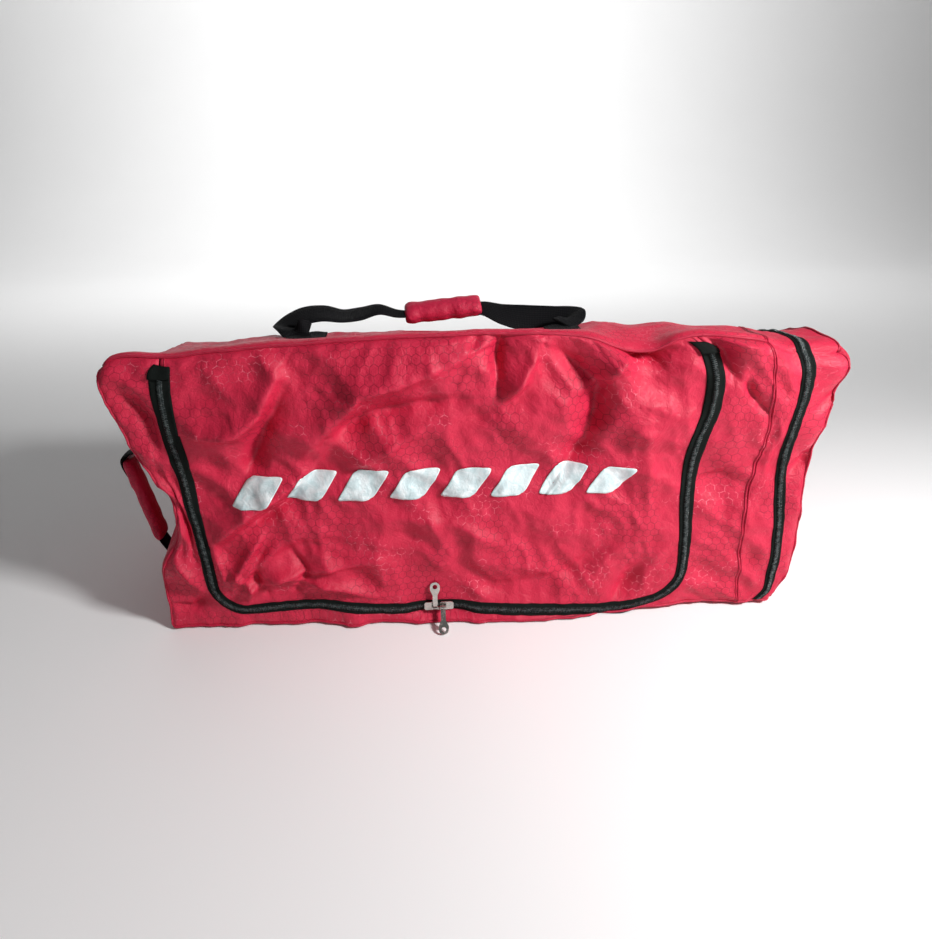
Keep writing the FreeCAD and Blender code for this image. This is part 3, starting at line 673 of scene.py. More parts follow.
def woven(name, base, thread, rib_mm, rough=0.62, depth=0.35):
    """Black narrow fabric with ribs across it and a twill between them."""
    w = Wiring(name)
    flat = w.flat()
    ribs = w.add("ShaderNodeTexWave", wave_type="BANDS", bands_direction="Y")
    w.link(flat, ribs.inputs["Vector"])
    ribs.inputs["Scale"].default_value = 0.314 / rib_mm
    ribs.inputs["Distortion"].default_value = 0.6
    ribs.inputs["Detail"].default_value = 1.0
    twill = w.add("ShaderNodeTexWave", wave_type="BANDS", bands_direction="X")
    w.link(flat, twill.inputs["Vector"])
    twill.inputs["Scale"].default_value = 0.314 / (rib_mm * 1.3)
    lint = w.noise(flat, 0.35, 3, 0.65)
    weave = w.math("MULTIPLY", ribs.outputs[1], twill.outputs[1])
    tint = w.mix(w.math("MULTIPLY", weave, 0.6), base, thread)
    tint = w.mix(w.range(lint, 0.55, 0.8, 0.0, 0.3), tint, thread)
    normal = w.bump(weave, depth, 0.8)
    normal = w.bump(lint, 0.3, 0.3, normal)
    return w.finish(tint, w.range(lint, 0.3, 0.7, rough - 0.06, rough + 0.1), normal, Specular_IOR_Level=0.12)


def smooth_stuff(name, base, worn, rough, metallic=0.0, speck=0.08, depth=0.12, **plain):
    """Moulded or plated material with faint wear and unevenness."""
    w = Wiring(name)
    place = w.place()
    cloudy = w.noise(place, speck, 4, 0.6)
    fine = w.noise(place, speck * 9, 3, 0.6)
    tint = w.mix(w.range(cloudy, 0.4, 0.75), base, worn)
    normal = w.bump(fine, depth, 0.35)
    w.shader.inputs["Metallic"].default_value = metallic
    return w.finish(tint, w.range(cloudy, 0.3, 0.7, rough, rough + 0.14), normal, **plain)


def make_graphic(name):
    """Silvery heat-pressed film over the cloth."""
    w = Wiring(name)
    flat = w.flat()
    cloudy = w.noise(flat, 0.05, 4, 0.6, 0.8)
    fine = w.noise(flat, 0.5, 3, 0.6)
    tint = w.mix(w.range(cloudy, 0.35, 0.7), (0.60, 0.74, 0.76), (0.86, 0.92, 0.93))
    normal = w.bump(w.noise(flat, 0.09, 4, 0.6, 1.0), 2.4, 0.7)
    normal = w.bump(fine, 0.3, 0.4, normal)
    return w.finish(tint, w.range(cloudy, 0.3, 0.7, 0.34, 0.5), normal, Metallic=0.15)


def make_floor_material():
    w = Wiring("pale_floor")
    cloudy = w.noise(w.place(), 0.002, 2, 0.5)
    tint = w.mix(cloudy, (0.90, 0.90, 0.90), (0.93, 0.93, 0.93))
    return w.finish(tint, 0.9)


MATERIALS = {
    "red_fabric": red_cloth(
        "red_fabric", (0.51, 0.012, 0.045), (0.71, 0.028, 0.080), (0.20, 0.003, 0.018), (0.95, 0.24, 0.32)
    ),
    "red_grip": red_cloth(
        "red_grip", (0.46, 0.010, 0.045), (0.66, 0.025, 0.080), (0.16, 0.002, 0.015), (0.9, 0.2, 0.3), 8.0
    ),
    "red_welt": red_cloth(
        "red_welt", (0.42, 0.010, 0.040), (0.60, 0.020, 0.065), (0.2, 0.003, 0.018), (0.8, 0.15, 0.2), prints=0.0
    ),
    "lining": woven("lining", (0.030, 0.030, 0.034), (0.060, 0.060, 0.066), 1.2, 0.75),
    "black_zip_tape": woven("black_zip_tape", (0.003, 0.005, 0.004), (0.014, 0.018, 0.016), 1.1, 0.7),
    "black_webbing": woven("black_webbing", (0.002, 0.002, 0.003), (0.012, 0.012, 0.013), 2.2, 0.7, 0.6),
    "black_thread": woven("black_thread", (0.010, 0.010, 0.011), (0.05, 0.05, 0.05), 0.8, 0.6),
    "black_zip_coil": smooth_stuff(
        "black_zip_coil", (0.035, 0.045, 0.045), (0.10, 0.12, 0.12), 0.2, speck=0.2, depth=0.08
    ),
    "grip_foam": smooth_stuff(
        "grip_foam", (0.02, 0.02, 0.022), (0.035, 0.035, 0.037), 0.8, speck=0.3, depth=0.3
    ),
    "bright_metal": smooth_stuff(
        "bright_metal", (0.48, 0.49, 0.46), (0.70, 0.70, 0.66), 0.18, 1.0, speck=0.12, depth=0.01
    ),
    "graphic": make_graphic("graphic"),
}


# ---------------------------------------------------------------- shell panels
def front_grid(x_low, x_high, step=3.0):
    """Rest points and flat coordinates of part of the front plane."""
    xs = np.linspace(x_low, x_high, int(round((x_high - x_low) / step)) + 1)
    zs = np.linspace(0, TOP, int(round(TOP / step)) + 1)
    z, x = np.meshgrid(zs, xs, indexing="ij")
    return np.stack([x, np.full_like(x, FRONT), z], -1), np.stack([x, z], -1)


def zip_snapper(target):
    """Function that moves points to a given distance outside the zip's centreline."""

    def snap(points):
        points = points.copy()
        for _ in range(3):
            x, z = points[:, 0], points[:, 2]
            d = outside_zip(x, z)
            gx = outside_zip(x + 0.5, z) - outside_zip(x - 0.5, z)
            gz = outside_zip(x, z + 0.5) - outside_zip(x, z - 0.5)
            size = np.maximum(np.hypot(gx, gz), 1e-6)
            points[:, 0] -= (d - target) * gx / size
            points[:, 2] -= (d - target) * gz / size
        points[:, 2] = np.clip(points[:, 2], 0, TOP)
        return points

    return snap


FRONT_CUT = 0.7


def bend_with_flap(obj):
    """Bake the transform of cloth that hangs from the top seam into its mesh; it is not made to swing with the
    flap.
    """
    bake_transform(obj)


def make_front():
    """The flap inside the main zip and the U-shaped band round it, cut from one grid."""
    rest, flat = front_grid(LEFT, SEAM_X)

    def inner(x, z):
        return -outside_zip(x, z) - 1.0

    def outer(x, z):
        return outside_zip(x, z) - 1.0

    flap = cloth_panel("fabric_flap", rest, flat, None, ["front_flap"], "hung", ["top_panel"],
                       inner, zip_snapper(-FRONT_CUT))
    bend_with_flap(flap)
    border = (SEAM_X - ZIP_RIGHT + 8, 2 * TOP + ZIP_RIGHT - ZIP_LEFT)
    cloth_panel("fabric_front_surround", rest, flat, "bag", ["front_surround"], "hung", ["top_panel"],
                outer, zip_snapper(FRONT_CUT), border)


def section_rows(foot, out, step, segments=(0, 1, 2, 3)):
    """(y, z, run) along the shell's cross-section from the front foot over the top to the back foot."""
    corners = [
        (FRONT - out, foot), (FRONT - out, TOP + out), (CREST_Y, CREST_Z + out),
        (BACK + out, BACK_TOP + out), (BACK + out, foot),
    ]
    bare = [(FRONT, foot), (FRONT, TOP), (CREST_Y, CREST_Z), (BACK, BACK_TOP), (BACK, foot)]
    ys, zs, run, done = [], [], [], 0.0
    for i in range(4):
        length = math.dist(bare[i], bare[i + 1])
        if i in segments:
            count = max(2, int(round(length / step)))
            t = np.arange(count + 1) / count
            if ys:
                t = t[1:]
            ys += list(corners[i][0] + (corners[i + 1][0] - corners[i][0]) * t)
            zs += list(corners[i][1] + (corners[i + 1][1] - corners[i][1]) * t)
            run += list(done + length * t)
        done += length
    return np.array(ys), np.array(zs), np.array(run)


def wrap_grid(x_low, x_high, step=4.0, foot=0.0, segments=(0, 1, 2, 3)):
    """Grid of the shell's wrapping surface between two stations along X."""
    ys, zs, run = section_rows(foot, 0.0, step, segments)
    xs = np.linspace(x_low, x_high, max(2, int(round((x_high - x_low) / step)) + 1))
    rest = np.stack(np.broadcast_arrays(xs[None], ys[:, None], zs[:, None]), -1).astype(float)
    flat = np.stack(np.broadcast_arrays(xs[None], run[:, None]), -1).astype(float)
    return rest, flat


def end_grid(x, step=4.5):
    """Grid of an end panel at a station along X."""
    ys = np.linspace(FRONT, BACK, int((BACK - FRONT) / step))
    share = np.linspace(0, 1, 90)
    y, t = np.meshgrid(ys, share)
    z = t * height_at(y)
    return np.stack([np.full_like(y, x), y, z], -1), np.stack([y, z], -1)


def make_bottom():
    xs, ys = np.linspace(LEFT, RIGHT, 180), np.linspace(FRONT, BACK, 72)
    y, x = np.meshgrid(ys, xs, indexing="ij")
    z = 1.6 + 0.8 * ripple(x, y, 60, 71)
    rest = np.stack([x, y, z], -1)
    settled = settle(rest.reshape(-1, 3))
    settled[:, 2] = np.maximum(settled[:, 2], 1.5)
    faces = grid_faces(*rest.shape[:2])
    flat = rest[..., :2].reshape(-1, 2)
    obj = make_mesh("fabric_bottom", settled, face_outward(settled, faces), flat)
    dress(obj, "red_fabric", "bottom_panel")
    thicken(obj, FABRIC, "lining")
    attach(obj, "bag")
    declare_sheet(flat, "laid", [])


def make_shell():
    make_front()
    top, back = wrap_grid(LEFT, SEAM_X, segments=(1, 2)), wrap_grid(LEFT, SEAM_X, segments=(3,))
    cap = wrap_grid(END_ZIP_X + 0.5, RIGHT, foot=3.5)
    cloth_panel("fabric_top", *top, "bag", ["top_panel"], "draped", ["front_surround", "back_panel"])
    cloth_panel("fabric_back", *back, "bag", ["back_panel"], "hung", ["top_panel"])
    cloth_panel("fabric_left_end", *end_grid(LEFT), "bag", ["left_end_panel"], "hung", ["top_panel"])
    gusset = wrap_grid(SEAM_X, END_ZIP_X - 0.5)
    cloth_panel("fabric_gusset", *gusset, "bag", ["pocket_gusset"], "draped", ["divider_panel"])
    cloth_panel("fabric_cap_band", *cap, "pocket_cap", ["pocket_cap"], "draped", ["pocket_gusset"])
    cloth_panel("fabric_cap_end", *end_grid(RIGHT), "pocket_cap", ["pocket_cap"], "hung", ["pocket_cap"])
    cloth_panel("fabric_divider", *end_grid(SEAM_X - 2, 6.0), "bag", ["divider_panel"], "hung", ["top_panel"])
    make_bottom()


# ---------------------------------------------------------------- zips
def zip_run(step):
    """(x, z, outward x, outward z, run) along the main zip from the left leg's top to the right leg's."""
    leg = ZIP_TOP - ZIP_BASE - ZIP_CORNER
    bend = ZIP_CORNER * math.pi / 2
    base = ZIP_RIGHT - ZIP_LEFT - 2 * ZIP_CORNER
    total = 2 * leg + 2 * bend + base
    rows = []
    for s in np.linspace(0, total, int(total / step) + 1):
        if s <= leg:
            rows.append((ZIP_LEFT, ZIP_TOP - s, -1, 0, s))
        elif s <= leg + bend:
            a = (s - leg) / ZIP_CORNER
            nx, nz = -math.cos(a), -math.sin(a)
            rows.append((ZIP_LEFT + ZIP_CORNER * (1 + nx), ZIP_BASE + ZIP_CORNER * (1 + nz), nx, nz, s))
        elif s <= leg + bend + base:
            rows.append((ZIP_LEFT + ZIP_CORNER + s - leg - bend, ZIP_BASE, 0, -1, s))
        elif s <= leg + 2 * bend + base:
            a = (s - leg - bend - base) / ZIP_CORNER
            nx, nz = math.sin(a), -math.cos(a)
            rows.append((ZIP_RIGHT - ZIP_CORNER * (1 - nx), ZIP_BASE + ZIP_CORNER * (1 + nz), nx, nz, s))
        else:
            rows.append((ZIP_RIGHT, ZIP_BASE + ZIP_CORNER + s - leg - 2 * bend - base, 1, 0, s))
    return np.array(rows, float)


def main_zip_points(step):
    """Function (across, out) giving rest points along the main zip, and the run."""
    rows = zip_run(step)

    def at(across, out):
        across, out = np.broadcast_to(across, len(rows)), np.broadcast_to(out, len(rows))
        return np.stack([rows[:, 0] + rows[:, 2] * across, FRONT - out, rows[:, 1] + rows[:, 3] * across], -1)

    return at, rows[:, 4]


def end_zip_points(step):
    """The same for the end pocket's zip, which runs over the bag; across is along +X."""
    _, _, run = section_rows(END_ZIP_FOOT, 0.0, step)

    def at(across, out):
        level = float(np.mean(out))
        ys, zs, _ = section_rows(END_ZIP_FOOT, level, step)
        across = np.broadcast_to(across, len(ys))
        return np.stack([END_ZIP_X + across, ys, zs], -1)

    return at, run


def tape_half(at):
    """Width of tape that shows beside the teeth: widest near the tops of the main zip's legs."""
    line = at(0, 0.0)
    front = TAPE_FOOT + (TAPE_TOP - TAPE_FOOT) * ease((line[:, 2] - 45) / 270)
    return np.where(np.abs(line[:, 0] - END_ZIP_X) < 1, END_TAPE, front)


# The tape's section: its corded edge as (across, out), then its flat web as (share of the web's width, out).
TAPE_CORD = ((0.5, 0.8), (1.2, 1.7), (2.2, 2.0), (3.4, 1.3), (4.6, 0.9))
TAPE_WEB = ((1 / 3, 0.9), (2 / 3, 0.9), (1.0, 0.7))


def make_tape(name, points, sign, node, place):
    """Woven half of a zip: flat outside, rising to a corded edge by the teeth."""
    at, run = points
    cord = TAPE_CORD[-1][0]
    web = tape_half(at) - cord
    section = [*TAPE_CORD, *((cord + web * share, out) for share, out in TAPE_WEB)]
    grid = np.stack([settle(at(sign * across, out)) for across, out in section], 1)
    flat = np.stack([np.stack(np.broadcast_arrays(across, run), -1) for across, _ in section], 1)
    faces = grid_faces(*grid.shape[:2])
    points = grid.reshape(-1, 3)
    obj = make_mesh(name, points, face_outward(points, faces), flat.reshape(-1, 2))
    dress(obj, "black_zip_tape", node)
    thicken(obj, 0.7)
    place(obj)
    width = max(TAPE_LEAST, float(np.ptp(flat[..., 0])))
    declare_sheet(flat, "hung", [node], cut=(width, float(np.ptp(run))))


# Sections of a coil turn: across, height and half its width.
TOOTH = ((-0.8, 0.55, 0.5), (0.5, 1.0, 0.5), (2.0, 0.85, 0.5), (3.3, 0.35, 0.35))


def make_teeth(name, points, sign, node, place):
    """Row of nylon coil turns, each a rounded bar that reaches just past the zip's centreline."""
    at, run = points
    ahead = np.gradient(settle(at(0, 2.0)), axis=0)
    ahead /= np.linalg.norm(ahead, axis=1)[:, None]
    spine = [settle(at(sign * across, 2.2)) for across, _, _ in TOOTH]
    crown = [settle(at(sign * across, 3.4)) for across, _, _ in TOOTH]
    points_all, faces_all = [], []
    for i in range(1 if sign > 0 else 2, len(run) - 1, 2):
        base = len(points_all)
        for k, (_, tall, wide) in enumerate(TOOTH):
            up = crown[k][i] - spine[k][i]
            up /= np.linalg.norm(up)
            arch = ((-1, -0.4), (-0.8, tall * 0.7), (0, tall * 1.15), (0.8, tall * 0.7), (1, -0.4))
            for along, high in arch:
                points_all.append(spine[k][i] + ahead[i] * (wide * along) + up * high)
        for k in range(len(TOOTH) - 1):
            for j in range(5):
                a, b = base + k * 5 + j, base + k * 5 + (j + 1) % 5
                faces_all.append((a, b, b + 5, a + 5))
        faces_all.append(tuple(base + j for j in range(5))[::-1])
        faces_all.append(tuple(base + 15 + j for j in range(5)))
    if sign < 0:
        faces_all = [f[::-1] for f in faces_all]
    obj = make_mesh(name, np.array(points_all), faces_all)
    dress(obj, "black_zip_coil", node)
    place(obj)


def make_stitches(name, rest, place, long=2.6, radius=0.32):
    """Dashed line of black thread along rest points: every other step is a stitch."""
    line = settle(rest)
    points, faces = [], []
    for i in range(0, len(line) - 1, 2):
        a, b = line[i], line[i + 1]
        ahead = (b - a) / max(np.linalg.norm(b - a), 1e-6)
        b = a + ahead * long
        side = np.cross(ahead, (0.2, 1.0, 0.3))
        side /= np.linalg.norm(side)
        up = np.cross(side, ahead)
        base = len(points)
        for end, shrink in ((a, 0.5), (a + ahead * 0.5, 1.0), (b - ahead * 0.5, 1.0), (b, 0.5)):
            for angle in (0, 90, 180, 270):
                c, s = math.cos(math.radians(angle)), math.sin(math.radians(angle))
                points.append(end + radius * shrink * (side * c + up * s))
        for k in range(3):
            for j in range(4):
                p, q = base + k * 4 + j, base + k * 4 + (j + 1) % 4
                faces.append((p, q, q + 4, p + 4))
        faces += [tuple(base + j for j in range(4))[::-1], tuple(base + 12 + j for j in range(4))]
    obj = make_mesh(name, np.array(points), faces, np.zeros((len(points), 2)))
    obj.data.materials.append(MATERIALS["black_thread"])
    place(obj)


def on(body):
    """Function that rides an object on a body."""
    return lambda obj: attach(obj, body)


def make_tape_end(name, x, lean_x, node):
    """Folded end of the zip's tape over the top of a leg."""
    wide = np.linspace(-1, 1, 9)
    tall = np.linspace(0, 1, 9)
    t, u = np.meshgrid(tall, wide, indexing="ij")
    half = TAPE_TOP + 0.8 - 3.5 * t**3
    px = x + u * half + lean_x * t**2
    pz = ZIP_TOP - 7 + 19 * t - 3.5 * (u * 0.5 + 0.5) * t
    py = FRONT - (4.3 - 1.2 * np.abs(u) ** 2 - 2.6 * t**2)
    points = settle(np.stack([px, py, pz], -1)).reshape(-1, 3)
    flat = np.stack([u * half, t * 19], -1).reshape(-1, 2)
    faces = grid_faces(9, 9)
    obj = make_mesh(name, points, face_outward(points, faces), flat)
    dress(obj, "black_zip_tape", node)
    thicken(obj, 0.9)
    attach(obj, "bag")
    declare_sheet(flat, "folded", [node], faces)


def make_main_zip():
    tape = main_zip_points(TAPE_STEP)
    teeth = main_zip_points(TEETH_PITCH / 2)
    thread, _ = main_zip_points(STITCH_PITCH / 2)
    make_tape("tape_main_outer", tape, 1, "main_zip_tape_outer", on("bag"))
    make_tape("tape_main_inner", tape, -1, "main_zip_tape_inner", bend_with_flap)
    make_teeth("teeth_main_outer", teeth, 1, "main_zip_coil_outer", on("bag"))
    make_teeth("teeth_main_inner", teeth, -1, "main_zip_coil_inner", bend_with_flap)
    edge = tape_half(thread) - STITCH_INSET
    make_stitches("stitches_main_outer", thread(edge, 1.0), on("bag"))
    make_stitches("stitches_main_inner", thread(-edge, 1.0), bend_with_flap)
    make_tape_end("tape_end_left", ZIP_LEFT, 3, "main_zip_stop_left")
    make_tape_end("tape_end_right", ZIP_RIGHT, -7, "main_zip_stop_right")


def make_end_zip():
    tape = end_zip_points(TAPE_STEP)
    teeth = end_zip_points(TEETH_PITCH / 2)
    thread, _ = end_zip_points(STITCH_PITCH / 2)
    make_tape("tape_end_zip_body", tape, -1, "end_zip_tape_body", on("bag"))
    make_tape("tape_end_zip_cap", tape, 1, "end_zip_tape_cap", on("pocket_cap"))
    make_teeth("teeth_end_zip_body", teeth, -1, "end_zip_coil_body", on("bag"))
    make_teeth("teeth_end_zip_cap", teeth, 1, "end_zip_coil_cap", on("pocket_cap"))
    edge = END_TAPE - STITCH_INSET
    make_stitches("stitches_end_zip_body", thread(-edge, 1.0), on("bag"))
    make_stitches("stitches_end_zip_cap", thread(edge, 1.0), on("pocket_cap"))


# ---------------------------------------------------------------- seams, piping and graphic
def along_x(y, z, high):
    xs = np.arange(LEFT, high + 0.1, 5.0)
    return np.stack([xs, np.full_like(xs, y), np.full_like(xs, z)], -1)


def round_section(x, out):
    ys, zs, _ = section_rows(3.0, out, 5.0)
    return np.stack([np.full_like(ys, x), ys, zs], -1)


def make_seams():
    for name, y, z, high in (
        ("piping_top_front", FRONT - 0.6, TOP + 0.6, SEAM_X),
        ("piping_top_back", BACK + 0.6, BACK_TOP + 0.6, SEAM_X),
        ("piping_bottom_front", FRONT - 0.6, 2.6, RIGHT - 3),
        ("piping_bottom_back", BACK + 0.6, 2.6, RIGHT - 3),
    ):
        tube(name, along_x(y, z, high), 1.7, "bag", name)
    tube("welt_left", round_section(LEFT + 1, 0.6), 1.5, "bag", "welt_left_end")
    tube("welt_cap", round_section(RIGHT - 1, 0.6), 1.5, "pocket_cap", "welt_pocket_cap")
    for i, dx in enumerate((-1.8, 1.8)):
        tube(f"seam_pocket_{i}", round_section(SEAM_X + dx, 0.2), 1.0, "bag")
    for label, x, shift in (("left", ZIP_LEFT, 6), ("right", ZIP_RIGHT, -6)):
        zs = np.linspace(ZIP_TOP + 8, TOP, 6)
        line = np.stack([np.full_like(zs, x + shift), np.full_like(zs, FRONT - 0.2), zs], -1)
        tube(f"seam_above_zip_{label}", line, 0.7, "bag")


BAR_COUNT = 8
BAR_SPAN = (-328.0, 216.0)
BAR_HEIGHTS = (197.0, 237.0)
BAR_SLANT = 26.0
BAR_GAP = 21.0


def make_graphic_bars():
    """Row of plain slanted silver bars across the flap."""
    low, high = BAR_HEIGHTS
    pitch = (BAR_SPAN[1] - BAR_SPAN[0] - BAR_SLANT + BAR_GAP) / BAR_COUNT
    for i in range(BAR_COUNT):
        start = BAR_SPAN[0] + i * pitch
        u, v = np.meshgrid(np.linspace(0, 1, 24), np.linspace(0, 1, 15))
        notch = 1 - 0.12 * (np.abs(2 * v - 1) ** 6) * (np.abs(2 * u - 1) ** 6)
        x = start + (pitch - BAR_GAP) * (0.5 + (u - 0.5) * notch) + BAR_SLANT * v
        z = low + (high - low) * (0.5 + (v - 0.5) * notch)
        rest = np.stack([x, np.full_like(x, FRONT - 1.7), z], -1).reshape(-1, 3)
        points = settle(rest)
        faces = face_outward(points, grid_faces(15, 24))
        bar = make_mesh(f"graphic_bar_{i + 1}", points, faces, rest[:, [0, 2]])
        bar.data.materials.append(MATERIALS["graphic"])
        thicken(bar, 0.3)
        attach(bar, "front_flap")
        declare_sheet(rest[:, [0, 2]], "laid", ["front_flap"], faces)


# ---------------------------------------------------------------- straps and handles
def strap_line(stations, step=3.0):
    """Smooth centreline, width direction and run through stations of (point, width direction)."""
    points = np.array([p for p, _ in stations], float)
    sides = np.array([s for _, s in stations], float)
    sides /= np.linalg.norm(sides, axis=1)[:, None]
    run = np.concatenate([[0], np.cumsum(np.linalg.norm(np.diff(points, axis=0), axis=1))])
    s = np.linspace(0, run[-1], int(run[-1] / step) + 1)
    line = np.stack([smooth_line(list(zip(run, points[:, k])))(s) for k in range(3)], -1)
    side = np.stack([smooth_line(list(zip(run, sides[:, k])))(s) for k in range(3)], -1)
    ahead = np.gradient(line, axis=0)
    ahead /= np.linalg.norm(ahead, axis=1)[:, None]
    side -= (side * ahead).sum(1)[:, None] * ahead
    side /= np.linalg.norm(side, axis=1)[:, None]
    return line, side, np.cross(side, ahead), s


def make_strap(name, stations, width, thick, node, place, widths=None):
    """Flat woven strap with soft edges through its stations."""
    line, side, up, run = strap_line(stations)
    half = width / 2 * (np.ones(len(line)) if widths is None else smooth_line(widths)(run / run[-1]))
    across = np.array([-1, -0.96, -0.5, 0, 0.5, 0.96, 1])
    upper = [(a, 0.5 if abs(a) < 0.99 else 0.0) for a in across]
    lower = [(a, -0.5) for a in across[-2:0:-1]]
    ring = upper + lower
    columns = []
    for a, high in ring:
        curl = 0.9 * (1 - a * a) * np.sin(run / 23.0)
        columns.append(line + side * (half * a)[:, None] + up * (thick * high + curl)[:, None])
    grid = np.stack(columns, 1)
    flat = np.stack(np.broadcast_arrays(np.array([a * width / 2 for a, _ in ring])[None], run[:, None]), -1)
    count = len(ring)
    faces = grid_faces(len(line), count, closed=True)
    total = grid.shape[0] * count
    faces += [tuple(range(count))[::-1], tuple(range(total - count, total))]
    obj = make_mesh(name, grid.reshape(-1, 3), faces, flat.reshape(-1, 2))
    dress(obj, "black_webbing", node)
    place(obj)
    declare_sheet(flat, "laid", [node])


def puff(obj, cap, frames=20):
    """Swell a closed pad by a short cloth simulation, with its movement capped."""
    remesh = obj.modifiers.new("remesh", "REMESH")
    remesh.mode = "VOXEL"
    remesh.voxel_size = 4 * MM
    remesh.use_smooth_shade = True
    bake(obj)
    before = np.array([v.co for v in obj.data.vertices])
    cloth = obj.modifiers.new("cloth", "CLOTH")
    cloth.settings.use_pressure = True
    cloth.settings.uniform_pressure_force = 4.0
    cloth.settings.effector_weights.gravity = 0.0
    cloth.settings.quality = 4
    scene = bpy.context.scene
    for f in range(1, frames + 1):
        scene.frame_set(f)
    bake(obj)
    scene.frame_set(1)
    after = np.array([v.co for v in obj.data.vertices])
    moved = after - before
    size = np.linalg.norm(moved, axis=1)
    share = np.minimum(1.0, cap * MM / np.maximum(size, 1e-9))
    obj.data.vertices.foreach_set("co", (before + moved * share[:, None]).astype(np.float32).ravel())
    smooth = obj.modifiers.new("smooth", "SUBSURF")
    smooth.levels = smooth.render_levels = 1
    bake(obj)


PAD_RINGS, PAD_SIDES = 41, 40


def pad_between(name, start, end, side, wide, thick, material, node, body, cap, closed_ends=0.88):
    """Padded sleeve from start to end: crowned and pinched at its sewn ends."""
    start, end = np.array(start, float), np.array(end, float)
    ahead = end - start
    length = np.linalg.norm(ahead)
    ahead /= length
    side = np.array(side, float)
    side -= (side @ ahead) * ahead
    side /= np.linalg.norm(side)
    up = np.cross(ahead, side)
    angles = np.arange(PAD_SIDES) * 2 * np.pi / PAD_SIDES
    rings, flats = [], []
    for share in np.linspace(0, 1, PAD_RINGS):
        rim = min(share, 1 - share) * length
        swell = closed_ends + (1 - closed_ends) * ease(rim / 9)
        swell *= 1 + 0.03 * math.sin(share * 19) - 0.03 * math.cos(share * 31)
        c, s = np.cos(angles), np.sin(angles)
        a = np.sign(c) * np.abs(c) ** 0.8 * wide / 2 * swell
        b = np.sign(s) * np.abs(s) ** 0.8 * thick / 2 * swell
        centre = start + ahead * length * share
        rings.append(centre + side * a[:, None] + up * b[:, None])
        flats.append(np.stack([angles * (wide + thick) / 4, np.full_like(angles, share * length)], -1))
    points = np.concatenate(rings)
    faces = grid_faces(PAD_RINGS, PAD_SIDES, closed=True)
    faces += [tuple(range(PAD_SIDES))[::-1], tuple(range(len(points) - PAD_SIDES, len(points)))]
    middle = (start + end) / 2
    obj = make_mesh(name, points, face_outward(points, faces, middle), np.concatenate(flats))
    dress(obj, material, node)
    puff(obj, cap)
    project_flat(obj, start, ahead, side, up)
    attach(obj, body)


def project_flat(obj, start, ahead, side, up):
    """Cloth coordinates for a pad: round it, and along it."""
    mesh = obj.data
    co = np.array([v.co for v in mesh.vertices]) / MM - start
    angle = np.arctan2(co @ up, co @ side)
    flat = np.stack([angle * 17.0, co @ ahead], -1)
    layer = mesh.uv_layers.get("cloth") or mesh.uv_layers.new(name="cloth")
    loops = np.zeros(len(mesh.loops), int)
    mesh.loops.foreach_get("vertex_index", loops)
    layer.data.foreach_set("uv", (flat[loops] * MM).astype(np.float32).ravel())


PATCH_SIZE = (48, 42)
PATCH_CORNERS = 0.84 * np.array([(-1, -1), (1, -1), (1, 1), (-1, 1)])
PATCH_SEWING = ((0, 1), (1, 2), (2, 3), (3, 0), (0, 2), (1, 3))


def make_patch(name, centre, u_axis, v_axis, normal, node):
    """Stitched-down end of a strap: a flat piece with a boxed cross of stitches."""
    centre, u_axis, v_axis, normal = (np.array(v, float) for v in (centre, u_axis, v_axis, normal))
    wide, tall = PATCH_SIZE

    def at(u, v, out):
        return centre + u[..., None] * u_axis * wide / 2 + v[..., None] * v_axis * tall / 2 + normal * out

    u, v = np.meshgrid(np.linspace(-1, 1, 13), np.linspace(-1, 1, 13))
    points = settle(at(u, v, 1.6).reshape(-1, 3))
    flat = np.stack([u * wide / 2, v * tall / 2], -1).reshape(-1, 2)
    obj = make_mesh(name, points, face_outward(points, grid_faces(13, 13)), flat)
    dress(obj, "black_webbing", node)
    thicken(obj, 1.8)
    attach(obj, "bag")
    declare_sheet(flat, "laid", [node])
    t = np.linspace(0, 1, 18)[:, None]
    for i, (a, b) in enumerate(PATCH_SEWING):
        line = (1 - t) * PATCH_CORNERS[a] + t * PATCH_CORNERS[b]
        make_stitches(f"{name}_stitches_{i + 1}", at(line[:, 0], line[:, 1], 1.9), on("bag"), 2.2, 0.3)


HAUL_X = (-223.0, 114.0)
HAUL_BASE = 95.0
HAUL_PATCH_Y = (("front", -111.0), ("back", 78.0))


def top_point(x, y, lift=0.0):
    """A point on the settled top, lifted."""
    return settle(np.array([[x, y, float(height_at(y))]]))[0] + np.array([0, 0, lift])


